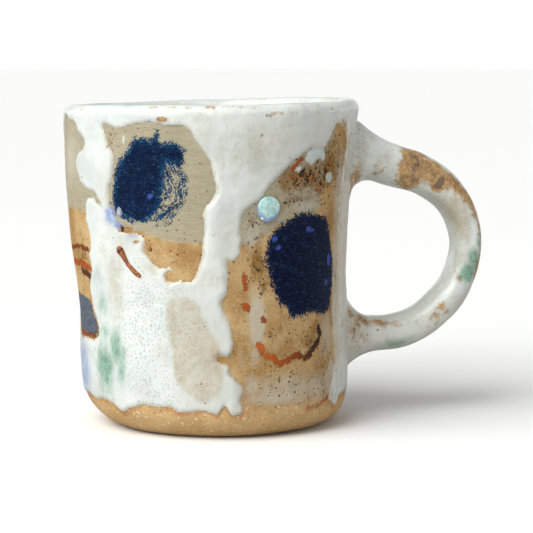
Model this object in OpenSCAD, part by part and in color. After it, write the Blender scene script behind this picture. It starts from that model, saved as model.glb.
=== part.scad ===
// Hand-built stoneware mug: slab floor, slab wall, strap handle and fused glaze coats.
// The origin is on the mug's axis at the resting face, +Z is up and the handle points along +X.

/* [Body] */
// Height of the finished mug over its glazed rim
mug_height = 93; // [80:1:120]
// Outer radius of the clay wall, carried straight down to the resting face
foot_radius = 38.5; // [32:0.5:48]
// How much further out the clay wall stands at the rim than at the foot
wall_flare = 3.1; // [0:0.1:8]
// Thickness of the clay wall
wall_thickness = 4.4; // [3:0.1:6]
// Thickness of the clay floor slab
floor_thickness = 6.5; // [4:0.5:9]
// Radius of the rounded lower edge of the body
foot_round = 9; // [3:0.5:12]
// Leg of the clay coil that is pressed into the inner corner
seam_coil_leg = 6; // [3:0.5:10]

/* [Handle] */
// Radius of the handle loop, along the middle of the strap
handle_radius = 25.6; // [21:0.1:30.8]
// Height of the centre of the handle loop
handle_height = 49.6; // [42:0.2:54]
// Space between the clay wall and the centre of the loop
handle_standoff = 9.9; // [7:0.1:16]
// How far the upper arm of the strap slopes down from the wall, in degrees
arm_slope = 19; // [8:1:28]
// Thickness of the strap, measured towards the fingers
strap_thickness = 9.9; // [9:0.1:12]
// Width of the strap across the palm
strap_width = 13.2; // [11:0.1:18]
// Rounding of the strap's four edges
strap_round = 4.4; // [2:0.1:4.4]

/* [Handle roots] */
// Radius of the clay coil smoothed round the upper root
upper_root_radius = 11; // [9:0.1:12]
// How far the upper root coil runs out along the strap
upper_root_reach = 10.5; // [7:0.5:12]
// How far the upper root coil sits below the middle of the arm
upper_root_drop = 1.5; // [0.5:0.1:2]
// Radius of the clay coil smoothed round the lower root
lower_root_radius = 9.6; // [8:0.1:11]
// How far the lower root coil runs out along the strap
lower_root_reach = 8.5; // [6:0.5:11]
// Edge thickness of the root coils where they are smoothed out on the wall
root_edge = 0.4; // [0.2:0.1:0.8]

/* [Slip and glaze] */
// Thickness of the slip that bonds two clay pieces
slip_thickness = 0.4; // [0.2:0.1:1]
// Thickness of the fused glaze coats
glaze_thickness = 0.4; // [0.2:0.1:0.8]
// Height of the lower edge of the outer glaze above the table
glaze_line = 8; // [4:0.5:12]

/* [Raised marks] */
// Diameter of the raised drop of pale glaze
drop_diameter = 6.6; // [3:0.1:10]
// How far the drop stands proud of the glaze
drop_height = 0.8; // [0.4:0.1:1.5]
// Height of the drop above the table
drop_level = 64; // [20:0.5:75]
// Direction of the drop round the mug, with the handle at 0
drop_turn = -77; // [-160:1:-30]
// Width of the trailed line of iron slip
trail_width = 1.5; // [1:0.1:3]
// Height of the upper end of the trailed line
trail_top = 53.5; // [30:0.5:75]
// Height of the lower end of the trailed line
trail_bottom = 45.5; // [20:0.5:60]
// Direction of the upper end of the trailed line
trail_top_turn = -140; // [-160:1:-30]
// Direction of the lower end of the trailed line
trail_bottom_turn = -130; // [-160:1:-30]

/* [Hidden] */
$fn = 96;

// Colours of the fired clay, the slip and the glazes
clay = [0.72, 0.55, 0.33];
dark_clay = [0.60, 0.43, 0.26];
slip = [0.80, 0.72, 0.58];
white_glaze = [0.92, 0.93, 0.90];
grey_glaze = [0.84, 0.83, 0.80];
pale_turquoise = [0.66, 0.86, 0.80];
iron_red = [0.62, 0.27, 0.13];

bands = 10;          // straight bands that make up the flared wall
arc_steps = 8;       // steps in a quarter turn of a rounded profile
arm_lap = 0.1;       // how far the straight arms reach back into the loop, so that they fuse
root_sink = 6;       // how far an arm or a root coil runs into the wall before it is trimmed
root_tip_inset = 0.3; // how far a root coil's outer end lies under the strap's face
root_rise = 25;      // angle at which a root coil leaves the wall, in degrees
fine_turn = 360;     // steps round a small raised mark and the wall that backs it

lip_radius = wall_thickness / 2;
rim_level = mug_height - glaze_thickness - lip_radius;
wall_base = floor_thickness + slip_thickness;

// Part of a circle, from angle a0 to a1.
function arc(centre, radius, a0, a1, steps) =
    [for (i = [0 : steps]) let (a = a0 + (a1 - a0) * i / steps)
        centre + radius * [cos(a), sin(a)]];

function reversed(list) = [for (i = [len(list) - 1 : -1 : 0]) list[i]];

// ---- Profile of the body ----

// The flared face, as straight bands from the table to the rim.
flare = [for (i = [0 : bands]) let (z = rim_level * i / bands)
    [z, foot_radius + wall_flare * pow(z / mug_height, 2)]];
function flared_r(z) = lookup(z, flare);
function flared_line(z0, z1, grow) = concat(
    [[flared_r(z0) + grow, z0]],
    [for (row = flare) if (row[0] > z0 + 0.01 && row[0] < z1 - 0.01) [row[1] + grow, row[0]]],
    [[flared_r(z1) + grow, z1]]
);

// The rounded foot, from height z0 up to height z1.
foot_centre = flared_r(foot_round) - foot_round;
function foot_r(z) = foot_centre + sqrt(pow(foot_round, 2) - pow(foot_round - z, 2));
function foot_line(z0, z1, grow) = concat(
    [[foot_r(z0) + grow, z0]],
    [for (p = arc([foot_centre, foot_round], foot_round, -90, 0, arc_steps))
        if (p[1] > z0 + 0.01 && p[1] < z1 - 0.01) p + [grow, 0]],
    [[foot_r(z1) + grow, z1]]
);

// The outer face from height z0 to height z1, moved outwards by grow.
function outer_line(z0, z1, grow = 0) =
    z1 <= foot_round ? foot_line(z0, z1, grow) :
    z0 >= foot_round ? flared_line(z0, z1, grow) :
    concat(foot_line(z0, foot_round, grow), flared_line(foot_round, z1, grow));
function outer_r(z) = z < foot_round ? foot_r(z) : flared_r(z);

// The wall's inner face from height z0 to height z1, moved towards the axis by inset.
function inner_line(z0, z1, inset = 0) = flared_line(z0, z1, -wall_thickness - inset);
function inner_r(z) = flared_r(z) - wall_thickness;

// The rounded lip grown by grow, from angle a0 to a1 over the top.
lip_centre = [flared_r(rim_level) - lip_radius, rim_level];
function lip_arc(grow, a0, a1) =
    arc(lip_centre, lip_radius + grow, a0, a1, arc_steps * abs(a1 - a0) / 90);

// The hollow face of the seam coil, moved outwards by grow, from the wall down to the floor.
coil_top = wall_base + seam_coil_leg;
coil_centre = [inner_r(coil_top) - seam_coil_leg, floor_thickness + seam_coil_leg];
function coil_arc(grow = 0) = concat(
    [[inner_r(coil_top) - grow, coil_top]],
    arc(coil_centre, seam_coil_leg - grow, 0, -90, arc_steps)
);

// Everything inside the body's outer face, moved out by grow, and the space over it.
module body_core(grow) {
    rotate_extrude()
    polygon(concat(
        [[0, 0]],
        outer_line(0, rim_level, grow),
        [[flared_r(rim_level) + grow, 2 * mug_height], [0, 2 * mug_height]]
    ));
}

// ---- Clay body ----

module floor_slab() {
    color(clay)
    rotate_extrude()
    polygon(concat([[0, 0]], outer_line(0, floor_thickness), [[0, floor_thickness]]));
}

module floor_slip() {
    color(slip)
    rotate_extrude()
    polygon(concat(
        outer_line(floor_thickness, wall_base),
        reversed(inner_line(floor_thickness, wall_base))
    ));
}

module wall_slab() {
    color(clay)
    rotate_extrude()
    polygon(concat(
        outer_line(wall_base, rim_level),
        lip_arc(0, 0, 180),
        reversed(inner_line(wall_base, rim_level))
    ));
}

module floor_seam_coil() {
    color(clay)
    rotate_extrude()
    polygon(concat(inner_line(floor_thickness, wall_base), inner_line(wall_base, coil_top), coil_arc()));
}

// ---- Handle ----

loop_x = flared_r(handle_height) + handle_standoff;
arm_turn = 90 - arm_slope;
function loop_point(turn) = [loop_x, 0, handle_height] + handle_radius * [cos(turn), 0, sin(turn)];

// Where the middle of each arm meets the wall's outer face.
upper_bend = loop_point(arm_turn);
upper_wall = flared_r(upper_bend[2]);
upper_root = [upper_wall, 0, upper_bend[2] + (upper_bend[0] - upper_wall) * tan(arm_slope)];
lower_bend = loop_point(-90);
lower_root = [flared_r(lower_bend[2]), 0, lower_bend[2]];

// Section of the strap: X is its thickness and Y its width, both grown all round.
module strap_section(grow) {
    x = strap_thickness / 2 - strap_round;
    y = strap_width / 2 - strap_round;
    r = strap_round + grow;
    polygon(concat(
        arc([x, -y], r, -90, 0, arc_steps),
        arc([x, y], r, 0, 90, arc_steps),
        arc([-x, y], r, 90, 180, arc_steps),
        arc([-x, -y], r, 180, 270, arc_steps)
    ));
}

// A straight arm from just inside the end of the loop into the wall.
module strap_arm(bend, root, turn, grow = 0) {
    translate(bend)
    rotate([0, -turn, 0])
    translate([0, 0, -arm_lap])
    linear_extrude(norm(bend - root) + root_sink + arm_lap)
    strap_section(grow);
}

module strap(grow = 0) {
    translate([loop_x, 0, handle_height])
    rotate([90, 0, 0])
    rotate_extrude(angle = 90 + arm_turn, start = -90)
    translate([handle_radius, 0])
    strap_section(grow);

    strap_arm(upper_bend, upper_root, arm_turn, grow);
    strap_arm(lower_bend, lower_root, 90, grow);
}

// A coil of clay smoothed from the wall out along an arm, before it is trimmed.
module root_flare(root, slope, radius, reach, grow) {
    tip = strap_thickness / 2 - root_tip_inset;
    fall = (radius - tip) / (1 - sin(root_rise));
    run = reach / cos(root_rise);
    base = root_edge - radius * tan(slope);
    translate(root)
    rotate([0, 90 + slope, 0])
    rotate_extrude()
    polygon(concat(
        [[0, base - root_sink], [radius + grow, base - root_sink], [radius + grow, base + grow]],
        [for (i = [0 : arc_steps])
            let (a = root_rise + (90 - root_rise) * i / arc_steps,
                 normal = [run * sin(a), fall * cos(a)])
            [radius - fall * (sin(a) - sin(root_rise)), base + run * (cos(root_rise) - cos(a))]
            + grow * normal / norm(normal)],
        [[0, base + reach]]
    ));
}

// The upper coil leans half as much as the arm that it holds.
module upper_flare(grow = 0) {
    root_flare(upper_root - [0, 0, upper_root_drop], arm_slope / 2,
        upper_root_radius, upper_root_reach, grow);
}

module lower_flare(grow = 0) {
    root_flare(lower_root, 0, lower_root_radius, lower_root_reach, grow);
}

module handle_strap() {
    color(clay)
    difference() {
        strap();
        body_core(slip_thickness);
    }
}

// The film of slip between the wall and one end of the strap.
module root_slip() {
    color(slip)
    intersection() {
        children();
        difference() {
            body_core(slip_thickness);
            body_core(0);
        }
    }
}

module upper_slip() {
    root_slip() strap_arm(upper_bend, upper_root, arm_turn);
}

module lower_slip() {
    root_slip() strap_arm(lower_bend, lower_root, 90);
}

module root_coil() {
    color(dark_clay)
    difference() {
        children();
        strap();
        body_core(0);
    }
}

module upper_root_coil() {
    root_coil() upper_flare();
}

module lower_root_coil() {
    root_coil() lower_flare();
}

// ---- Glaze ----

// The coat inside the mug, from the top of the lip down to the middle of the floor.
module liner_glaze() {
    color(grey_glaze)
    rotate_extrude()
    polygon(concat(
        lip_arc(glaze_thickness, 90, 180),
        reversed(inner_line(coil_top, rim_level, glaze_thickness)),
        coil_arc(glaze_thickness),
        [[0, floor_thickness + glaze_thickness], [0, floor_thickness]],
        reversed(coil_arc()),
        inner_line(coil_top, rim_level),
        lip_arc(0, 180, 90)
    ));
}

// The coat on the wall, left open where the handle's roots meet the clay.
module outer_glaze() {
    color(white_glaze)
    difference() {
        rotate_extrude()
        polygon(concat(
            outer_line(glaze_line, rim_level, glaze_thickness),
            lip_arc(glaze_thickness, 0, 90),
            lip_arc(0, 90, 0),
            reversed(outer_line(glaze_line, rim_level))
        ));
        upper_flare();
        lower_flare();
    }
}

module handle_glaze() {
    color(white_glaze)
    difference() {
        union() {
            strap(glaze_thickness);
            upper_flare(glaze_thickness);
            lower_flare(glaze_thickness);
        }
        strap();
        upper_flare();
        lower_flare();
        body_core(glaze_thickness);
    }
}

// ---- Raised marks ----

// A point on the glazed wall.
function on_glaze(turn, level) =
    let (r = flared_r(level) + glaze_thickness) [r * cos(turn), r * sin(turn), level];

// A drop of glaze that froze proud of the wall: the outer part of a ball.
module glaze_drop() {
    half = drop_diameter / 2;
    ball = (half * half + drop_height * drop_height) / (2 * drop_height);
    sunk = drop_height - ball;
    color(pale_turquoise)
    difference() {
        translate(on_glaze(drop_turn, drop_level) + sunk * [cos(drop_turn), sin(drop_turn), 0])
        sphere(ball, $fn = fine_turn);
        body_core(glaze_thickness, $fn = fine_turn);
    }
}

// A line of iron slip with round ends, half sunk in the glazed wall.
module slip_trail() {
    top = on_glaze(trail_top_turn, trail_top);
    run = on_glaze(trail_bottom_turn, trail_bottom) - top;
    color(iron_red)
    difference() {
        union() {
            translate(top) sphere(trail_width / 2);
            translate(top + run) sphere(trail_width / 2);
            translate(top)
            rotate([0, acos(run[2] / norm(run)), atan2(run[1], run[0])])
            cylinder(norm(run), trail_width / 2, trail_width / 2);
        }
        body_core(glaze_thickness, $fn = fine_turn);
    }
}

floor_slab();
floor_slip();
wall_slab();
floor_seam_coil();
handle_strap();
upper_slip();
lower_slip();
upper_root_coil();
lower_root_coil();
liner_glaze();
outer_glaze();
handle_glaze();
glaze_drop();
slip_trail();
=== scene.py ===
# %% [markdown]
# # A hand-built stoneware mug
# The mug is made of a floor slab, a wall rolled from a slab of groggy golden clay, and a pulled
# strap handle. White glaze was poured and dripped over it, so that it runs in columns, stops in an
# uneven line over the bare foot, and leaves windows where the clay shows with its brushed cobalt
# spots. This lesson builds it the same way: clay first, then coats of glaze that really stand
# proud of the clay, then the small raised marks, and last the light and the camera.

# %% Load the frame
import math

import bpy
import numpy as np
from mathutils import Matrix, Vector, noise


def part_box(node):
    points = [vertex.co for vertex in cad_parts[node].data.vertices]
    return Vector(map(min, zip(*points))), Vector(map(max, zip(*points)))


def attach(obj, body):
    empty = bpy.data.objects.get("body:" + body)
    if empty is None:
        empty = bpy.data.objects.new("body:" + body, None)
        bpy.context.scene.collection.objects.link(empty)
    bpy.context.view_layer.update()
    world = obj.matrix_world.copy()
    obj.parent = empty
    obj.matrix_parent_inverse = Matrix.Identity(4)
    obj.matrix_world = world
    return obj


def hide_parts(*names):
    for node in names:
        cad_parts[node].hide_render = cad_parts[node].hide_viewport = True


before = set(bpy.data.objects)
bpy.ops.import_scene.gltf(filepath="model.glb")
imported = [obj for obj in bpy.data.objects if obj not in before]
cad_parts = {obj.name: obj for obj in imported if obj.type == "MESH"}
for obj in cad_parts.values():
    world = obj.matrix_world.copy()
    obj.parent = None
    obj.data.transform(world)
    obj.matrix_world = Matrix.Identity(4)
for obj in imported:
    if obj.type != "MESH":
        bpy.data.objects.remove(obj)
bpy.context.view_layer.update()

# %% [markdown]
# Everything is worked out in millimetres, as a potter measures, and turned to metres when a mesh
# is made. The main sizes come from the CAD pieces, so that the skin lies where the solids do.

# %% Main sizes from the CAD pieces
MM = 0.001


def node_box(name):
    """Lowest and highest corner of a CAD piece, in millimetres."""
    low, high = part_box(name)
    return [v / MM for v in low], [v / MM for v in high]


wall_high = node_box("wall_slab")[1]
WALL = 4.4                                   # thickness of the wall
LIP = WALL / 2                               # radius of the rounded lip
FOOT_ROUND = 9.0                             # rounding of the lower edge
GLAZE = node_box("liner_glaze")[1][2] - wall_high[2]
RIM_RADIUS = wall_high[0]
RIM_HEIGHT = wall_high[2]
FLOOR_TOP = node_box("floor_slab")[1][2]
FOOT_RADIUS = RIM_RADIUS - 2.93              # the wall's radius carried down to the table
FOOT_SHIFT, LEAN = 0.5, 1.5                  # shift of the foot to the handle, lean of the rim away
print(f"rim radius {RIM_RADIUS:.1f}, rim height {RIM_HEIGHT:.1f}, glaze {GLAZE:.2f} mm")

# %% [markdown]
# A slab wall is never quite round. The form is a true profile that is then pushed about: swells
# and dents are soft bumps at an angle and a height, the rim rises towards the handle, and the whole
# body leans a little. Angles go round the mug in degrees with the handle at 0, so the side that
# faces the camera is near -100. Every piece is placed by `stand`, so they all lean together.

# %% The hand-made form
# angle, height, spread in degrees, spread in mm, depth in mm
SWELLS = [
    (174, 72, 42, 17, 1.4), (-8, 47, 36, 15, -0.7), (-60, 84, 30, 9, 0.35), (-118, 55, 24, 22, -0.4),
    (178, 0, 58, 8, -3), (-90, 20, 30, 14, 0.3), (95, 60, 40, 25, 0.6), (60, 25, 30, 16, -0.5),
    (130, 88, 22, 8, -0.5), (-150, 40, 20, 15, 0.25), (-35, 15, 26, 12, 0.3), (20, 86, 18, 8, 0.3),
    (172, 53, 40, 11, 0.9), (-12, 91, 34, 7, 1.3),
]
RIM_RISE = [
    (-180, -1), (-140, -0.3), (-100, 0), (-50, 0.3), (0, 0.7), (38, 0.1), (80, -0.9), (122, -1.6),
    (155, -1.45),
]


def turn_from(theta, centre):
    """Signed angle in degrees from a centre, the short way round."""
    return (np.asarray(theta) - centre + 180.0) % 360.0 - 180.0


def round_curve(points, theta):
    """A smooth closed curve through (angle, value) points."""
    angles = np.array([a for a, _ in points] + [points[0][0] + 360.0])
    values = np.array([v for _, v in points] + [points[0][1]])
    place = (np.asarray(theta) - angles[0]) % 360.0 + angles[0]
    k = np.clip(np.searchsorted(angles, place, side="right") - 1, 0, len(points) - 1)
    t = (place - angles[k]) / (angles[k + 1] - angles[k])
    t = t * t * (3 - 2 * t)
    return values[k] * (1 - t) + values[k + 1] * t


def swell(theta, z):
    """How far the wall stands out of true, in mm: a slow ripple and the bumps of SWELLS."""
    out = 0.12 * np.sin(np.radians(theta) * 7 + z / 11) + 0.1 * np.sin(np.radians(theta) * 4 - z / 17)
    for angle, height, wide, tall, depth in SWELLS:
        out = out + depth * np.exp(-(turn_from(theta, angle) / wide) ** 2 - ((z - height) / tall) ** 2)
    return out


def stand(theta, r, z):
    """Places (angle, radius, height) of the true profile on the hand-made body."""
    r = r + swell(theta, z) * np.clip(np.asarray(r) / 20.0, 0, 1)
    high = np.clip((z - 45.0) / 48.0, 0, 1)
    x = r * np.cos(np.radians(theta)) + FOOT_SHIFT - LEAN * z / RIM_HEIGHT
    y = r * np.sin(np.radians(theta))
    return np.stack([x, y, z + round_curve(RIM_RISE, theta) * high * high], axis=-1)


def wall_r(z):
    """True radius of the clay's outer face above the foot's rounding."""
    return FOOT_RADIUS + (RIM_RADIUS - FOOT_RADIUS) * (np.asarray(z) / RIM_HEIGHT) ** 2


# %% [markdown]
# The skin's profile is drawn once: from under the foot, round the lower edge, up the wall, over
# the lip and down the inside. It is cut into even rows by length. `height` runs on past the lip, so
# that every row has one number that grows all the way along the skin.

# %% The profile of the skin
def profile_line():
    """Dense points (r, z) of the outer face, from the table to 9 mm below the lip inside."""
    foot_x = float(wall_r(FOOT_ROUND)) - FOOT_ROUND
    under = np.stack([np.linspace(foot_x - 6, foot_x, 10, endpoint=False), np.zeros(10)], axis=1)
    a = np.radians(np.linspace(-90, 0, 40))
    foot = np.stack([foot_x + FOOT_ROUND * np.cos(a), FOOT_ROUND + FOOT_ROUND * np.sin(a)], axis=1)
    z = np.linspace(FOOT_ROUND, RIM_HEIGHT - LIP, 200)[1:]
    face = np.stack([wall_r(z), z], axis=1)
    a = np.radians(np.linspace(0, 180, 40))[1:]
    lip = face[-1] + np.stack([LIP * np.cos(a) - LIP, LIP * np.sin(a)], axis=1)
    z = np.linspace(RIM_HEIGHT - LIP, RIM_HEIGHT - 11, 20)[1:]
    inner = np.stack([wall_r(z) - WALL, z], axis=1)
    return np.concatenate([under, foot, face, lip, inner])


def even_rows(line, step):
    """Cuts a line of (r, z) points into even rows: r, z, outward normal and length along it."""
    length = np.concatenate([[0], np.cumsum(np.hypot(*np.diff(line, axis=0).T))])
    s = np.linspace(0, length[-1], int(round(length[-1] / step)) + 1)
    r, z = np.interp(s, length, line[:, 0]), np.interp(s, length, line[:, 1])
    along = np.gradient(np.stack([r, z], axis=1), axis=0)
    along /= np.linalg.norm(along, axis=1, keepdims=True)
    return r, z, along[:, 1], -along[:, 0], s


ROW_STEP = 0.6
skin_r, skin_z, skin_nr, skin_nz, skin_s = even_rows(profile_line(), ROW_STEP)
at_ten = int(np.argmin(np.abs(skin_z[: len(skin_z) // 2] - 10.0)))
skin_h = skin_s - skin_s[at_ten] + skin_z[at_ten]      # equals z on the wall, and runs on over the lip
FRONT_COLUMNS, BACK_COLUMNS = 330, 110                 # finer columns from -195 to 0 degrees
columns = np.concatenate([
    np.linspace(-195, 0, FRONT_COLUMNS, endpoint=False),
    np.linspace(0, 165, BACK_COLUMNS + 1),
])
print(f"skin: {len(columns) - 1} columns, {len(skin_r)} rows")

# %% [markdown]
# Blender's mesh tools act on what is selected in the active object. These helpers select one object
# as a hand would, do one job on it, such as merging its seam, and leave edit mode again. Points are
# read and set as whole tables, which is quick enough for the fine grids that follow.

# %% Working on one mesh
def deselect_all():
    if bpy.context.object and bpy.context.object.mode != "OBJECT":
        bpy.ops.object.mode_set(mode="OBJECT")
    bpy.ops.object.select_all(action="DESELECT")


def make_active(obj):
    deselect_all()
    obj.select_set(True)
    bpy.context.view_layer.objects.active = obj


def merge_and_face_out(obj, gap=0.002):
    """Merges what lies within a gap in mm and turns every face outward."""
    make_active(obj)
    bpy.ops.object.mode_set(mode="EDIT")
    bpy.ops.mesh.select_all(action="SELECT")
    bpy.ops.mesh.remove_doubles(threshold=gap * MM)
    bpy.ops.mesh.dissolve_degenerate(threshold=gap * MM)
    bpy.ops.mesh.normals_make_consistent(inside=False)
    bpy.ops.object.mode_set(mode="OBJECT")


def delete_vertices(obj, gone):
    """Deletes the vertices for which gone is true."""
    make_active(obj)
    bpy.ops.object.mode_set(mode="EDIT")
    bpy.ops.mesh.select_mode(type="VERT")
    bpy.ops.mesh.select_all(action="DESELECT")
    bpy.ops.object.mode_set(mode="OBJECT")
    obj.data.vertices.foreach_set("select", gone)
    bpy.ops.object.mode_set(mode="EDIT")
    bpy.ops.mesh.delete(type="VERT")
    bpy.ops.object.mode_set(mode="OBJECT")


def get_points(mesh):
    """The vertices of a mesh as rows of x, y, z in metres."""
    flat = np.empty(len(mesh.vertices) * 3)
    mesh.vertices.foreach_get("co", flat)
    return flat.reshape(-1, 3)


def set_points(mesh, points):
    """Moves the vertices of a mesh to points given in mm."""
    mesh.vertices.foreach_set("co", (points * MM).ravel())


def finish_piece(obj, material, gap=0.002):
    """Gives a piece its material, merges its seam and shades it smooth."""
    obj.data.materials.append(material)
    merge_and_face_out(obj, gap)
    bpy.ops.object.shade_smooth()
    print(obj.name, "triangles:", sum(len(face.vertices) - 2 for face in obj.data.polygons))

# %% [markdown]
# Each slab starts as a flat grid, as a slab of clay does, and is rolled up: its columns go round
# and its rows follow the profile. The two ends are then merged into one closed tube. The grid's
# own UV map is kept in millimetres over 100, so that brush marks can follow the wall.

# %% Rolling a slab
def spread(values, like):
    """One value for each row, repeated over the columns of a grid."""
    return values[:, None] + 0 * like


def rolled_slab(name, points, wrap=None):
    """A grid of faces whose vertices go to points[row, column] in mm, and whose UV map is wrap."""
    rows, cols = points.shape[0] - 1, points.shape[1] - 1
    deselect_all()
    bpy.ops.mesh.primitive_grid_add(x_subdivisions=cols, y_subdivisions=rows, size=1, calc_uvs=True)
    obj = bpy.context.object
    obj.name = obj.data.name = name
    mesh = obj.data
    flat = get_points(mesh)
    col = np.rint((flat[:, 0] + 0.5) * cols).astype(int)
    row = np.rint((flat[:, 1] + 0.5) * rows).astype(int)
    set_points(mesh, points[row, col])
    if wrap is not None:
        corner = np.empty(len(mesh.loops), dtype=np.int32)
        mesh.loops.foreach_get("vertex_index", corner)
        uv = mesh.uv_layers.active
        uv.name = "wrap"
        uv.data.foreach_set("uv", (wrap[row, col][corner] / 100.0).ravel())
    mesh.update()
    return obj, row, col


def add_values(obj, name, values):
    """Stores one number per vertex, for the materials to read."""
    layer = obj.data.attributes.new(name, "FLOAT", "POINT")
    layer.data.foreach_set("value", np.asarray(values, dtype=np.float32))


# %% [markdown]
# The painted marks are kept as drawn outlines of (angle, height). `inside` turns an outline
# into a distance in mm: above 0 inside it, below 0 outside. Distances are smooth over the coarse
# grid, so an edge cut at 0 in a material stays sharp between the vertices.

# %% Outlines and distances on the wall
DEGREE = math.radians(40.0)                  # mm along the wall for one degree, at 40 mm radius


def smooth_loop(outline, steps=4):
    """A closed Catmull-Rom curve through an outline's points."""
    p = np.array(outline, dtype=float)
    before, after, after2 = np.roll(p, 1, 0), np.roll(p, -1, 0), np.roll(p, -2, 0)
    t = np.linspace(0, 1, steps, endpoint=False)[:, None, None]
    curve = 0.5 * (2 * p + (after - before) * t + (2 * before - 5 * p + 4 * after - after2) * t ** 2
                   + (3 * p - before - 3 * after + after2) * t ** 3)
    return curve.transpose(1, 0, 2).reshape(-1, 2)


def inside(outline, theta, height, reach=6.0):
    """Distance in mm into a closed outline, cut off at reach."""
    loop = smooth_loop(outline)
    middle = loop[:, 0].mean()
    x, y = turn_from(theta, middle) * DEGREE, height
    ax, ay = (loop[:, 0] - middle) * DEGREE, loop[:, 1]
    out = np.full(x.shape, -reach)
    near = ((x > ax.min() - reach) & (x < ax.max() + reach) & (y > ay.min() - reach) & (y < ay.max() + reach))
    px, py = x[near][:, None], y[near][:, None]
    bx, by = np.roll(ax, -1), np.roll(ay, -1)
    dx, dy = bx - ax, by - ay
    t = np.clip(((px - ax) * dx + (py - ay) * dy) / (dx ** 2 + dy ** 2 + 1e-9), 0, 1)
    far = np.sqrt(((px - ax - t * dx) ** 2 + (py - ay - t * dy) ** 2).min(axis=1))
    crosses = ((ay > py) != (by > py)) & (px < dx * (py - ay) / (dy + 1e-12) + ax)
    out[near] = np.clip(np.where(crosses.sum(axis=1) % 2 == 1, far, -far), -reach, reach)
    return out

# %% [markdown]
# A brush stroke is a line with a width, so it is measured as a distance to the line and a share of
# the way along it. Smears, washes and thin places have no clear edge. They are soft round patches,
# and where two overlap the stronger one counts.

# %% Strokes and soft patches
def along_stroke(points, theta, height):
    """Distance from a stroke through (angle, height) points, and the share of the way along it."""
    p = np.array(points, dtype=float)
    middle = p[:, 0].mean()
    x, y = turn_from(theta, middle) * DEGREE, height
    ax, ay = (p[:-1, 0] - middle) * DEGREE, p[:-1, 1]
    dx, dy = np.diff(p[:, 0]) * DEGREE, np.diff(p[:, 1])
    best, share = np.full(x.shape, 99.0), np.zeros(x.shape)
    for k in range(len(ax)):
        t = np.clip(((x - ax[k]) * dx[k] + (y - ay[k]) * dy[k]) / (dx[k] ** 2 + dy[k] ** 2 + 1e-9), 0, 1)
        far = np.hypot(x - ax[k] - t * dx[k], y - ay[k] - t * dy[k])
        share = np.where(far < best, (k + t) / len(ax), share)
        best = np.minimum(best, far)
    return best, share


def patches(spots, theta, height):
    """Soft round patches (angle, height, half width mm, half height mm, strength); the strongest wins."""
    out = np.zeros(np.shape(theta))
    for angle, level, wide, tall, strength in spots:
        x = turn_from(theta, angle) * DEGREE / wide
        out = np.maximum(out, strength * np.exp(-x * x - ((height - level) / tall) ** 2))
    return out


def roughness_of(theta, height, size, seed):
    """Smooth noise from -1 to 1 over the wall, with lumps of a given size in mm."""
    a = np.radians(theta)
    x, y = 40.0 * np.cos(a) / size, 40.0 * np.sin(a) / size
    return np.array([noise.noise(Vector(p)) for p in zip(x + seed, y, height / size)])


# %% [markdown]
# The windows are where no white glaze took: round the left cobalt spot, at the far left over a
# cream and golden stretch, and the tall golden stretch that holds the right spot. Islands are small
# puddles of glaze inside a window. The far side follows the same manner, with simpler shapes.

# %% Where the glaze is and isn't
LEFT_WINDOW = [
    (-145, 87.5), (-138, 86.4), (-131, 87.5), (-124, 88.2), (-116, 87.6), (-109, 86.8), (-106, 84.5),
    (-104.5, 82), (-101.5, 79.5), (-99.5, 76), (-98.5, 72), (-98, 69.5), (-101, 66), (-103, 63.5),
    (-102.7, 60), (-103.5, 56), (-104.5, 51), (-107.5, 45.7), (-111, 44.8), (-114, 46), (-117, 48.4),
    (-121, 48.2), (-125, 50.5), (-128, 52.5), (-127.5, 56), (-132, 57.8), (-137, 57.5), (-140.5, 59),
    (-141, 61.5), (-144.5, 64.5), (-144, 68.5), (-142, 73), (-140.5, 77.5), (-141.5, 80.5), (-143.5, 83.5),
]
LEFT_CHIP = [(-119.5, 46.2), (-116.5, 44.5), (-113.5, 45.2), (-113.4, 46.8), (-117, 47.4)]
FAR_LEFT_WINDOW = [
    (-178, 89.5), (-171, 89), (-166, 88), (-162, 85.5), (-157.5, 83), (-159, 81), (-164.5, 78),
    (-165.5, 75), (-163, 71.5), (-159, 69.3), (-153, 68.3), (-149.5, 65.4), (-150, 64.6), (-153, 66.6),
    (-157, 67), (-159.8, 64.5), (-160.5, 60), (-158.5, 56), (-158, 53), (-160, 50.5), (-159, 47),
    (-160.5, 44), (-162, 40.5), (-160, 36), (-157.5, 32.5), (-155.8, 29.5), (-157, 27.3), (-162, 26),
    (-170, 26.5), (-180, 25), (-190, 28), (-197, 36), (-193, 48), (-199, 60), (-195, 73), (-188, 84),
]
RIGHT_WINDOW = [
    (-88.3, 52.5), (-88.5, 60), (-87, 63.5), (-83.5, 65.5), (-80, 67), (-76, 70.5), (-72, 73.3),
    (-67, 76.3), (-62, 79), (-57, 80.3), (-50, 80), (-47, 82), (-44, 85), (-41.5, 87), (-37, 85.5),
    (-31, 83.5), (-29.5, 79), (-33, 73), (-35.5, 66), (-36, 58), (-35, 50), (-35.5, 42), (-39, 36),
    (-40, 30), (-39, 23), (-40.5, 16), (-43, 12), (-46, 8), (-55, 4), (-75, 4), (-86, 7), (-89, 11),
    (-88, 14), (-90, 16.5), (-93, 19.3), (-94, 21.3), (-98.4, 22.2), (-98.4, 23.8), (-94, 23.7),
    (-91.7, 26), (-92, 30), (-93.8, 33.5), (-95, 36), (-96, 39), (-94, 42), (-93.5, 46), (-94, 50),
    (-90.5, 50.3),
]
BACK_WINDOW = [
    (126, 84), (117, 86), (108, 85), (99, 86.5), (91, 83), (88, 77), (90, 71), (87, 65), (90, 59), (87, 52),
    (92, 46), (97, 44), (101, 40), (107, 43), (112, 47), (118, 44), (123, 38.5), (128, 41), (127, 48),
    (131, 54), (128, 61), (132, 68), (131, 76), (129, 81),
]
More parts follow.
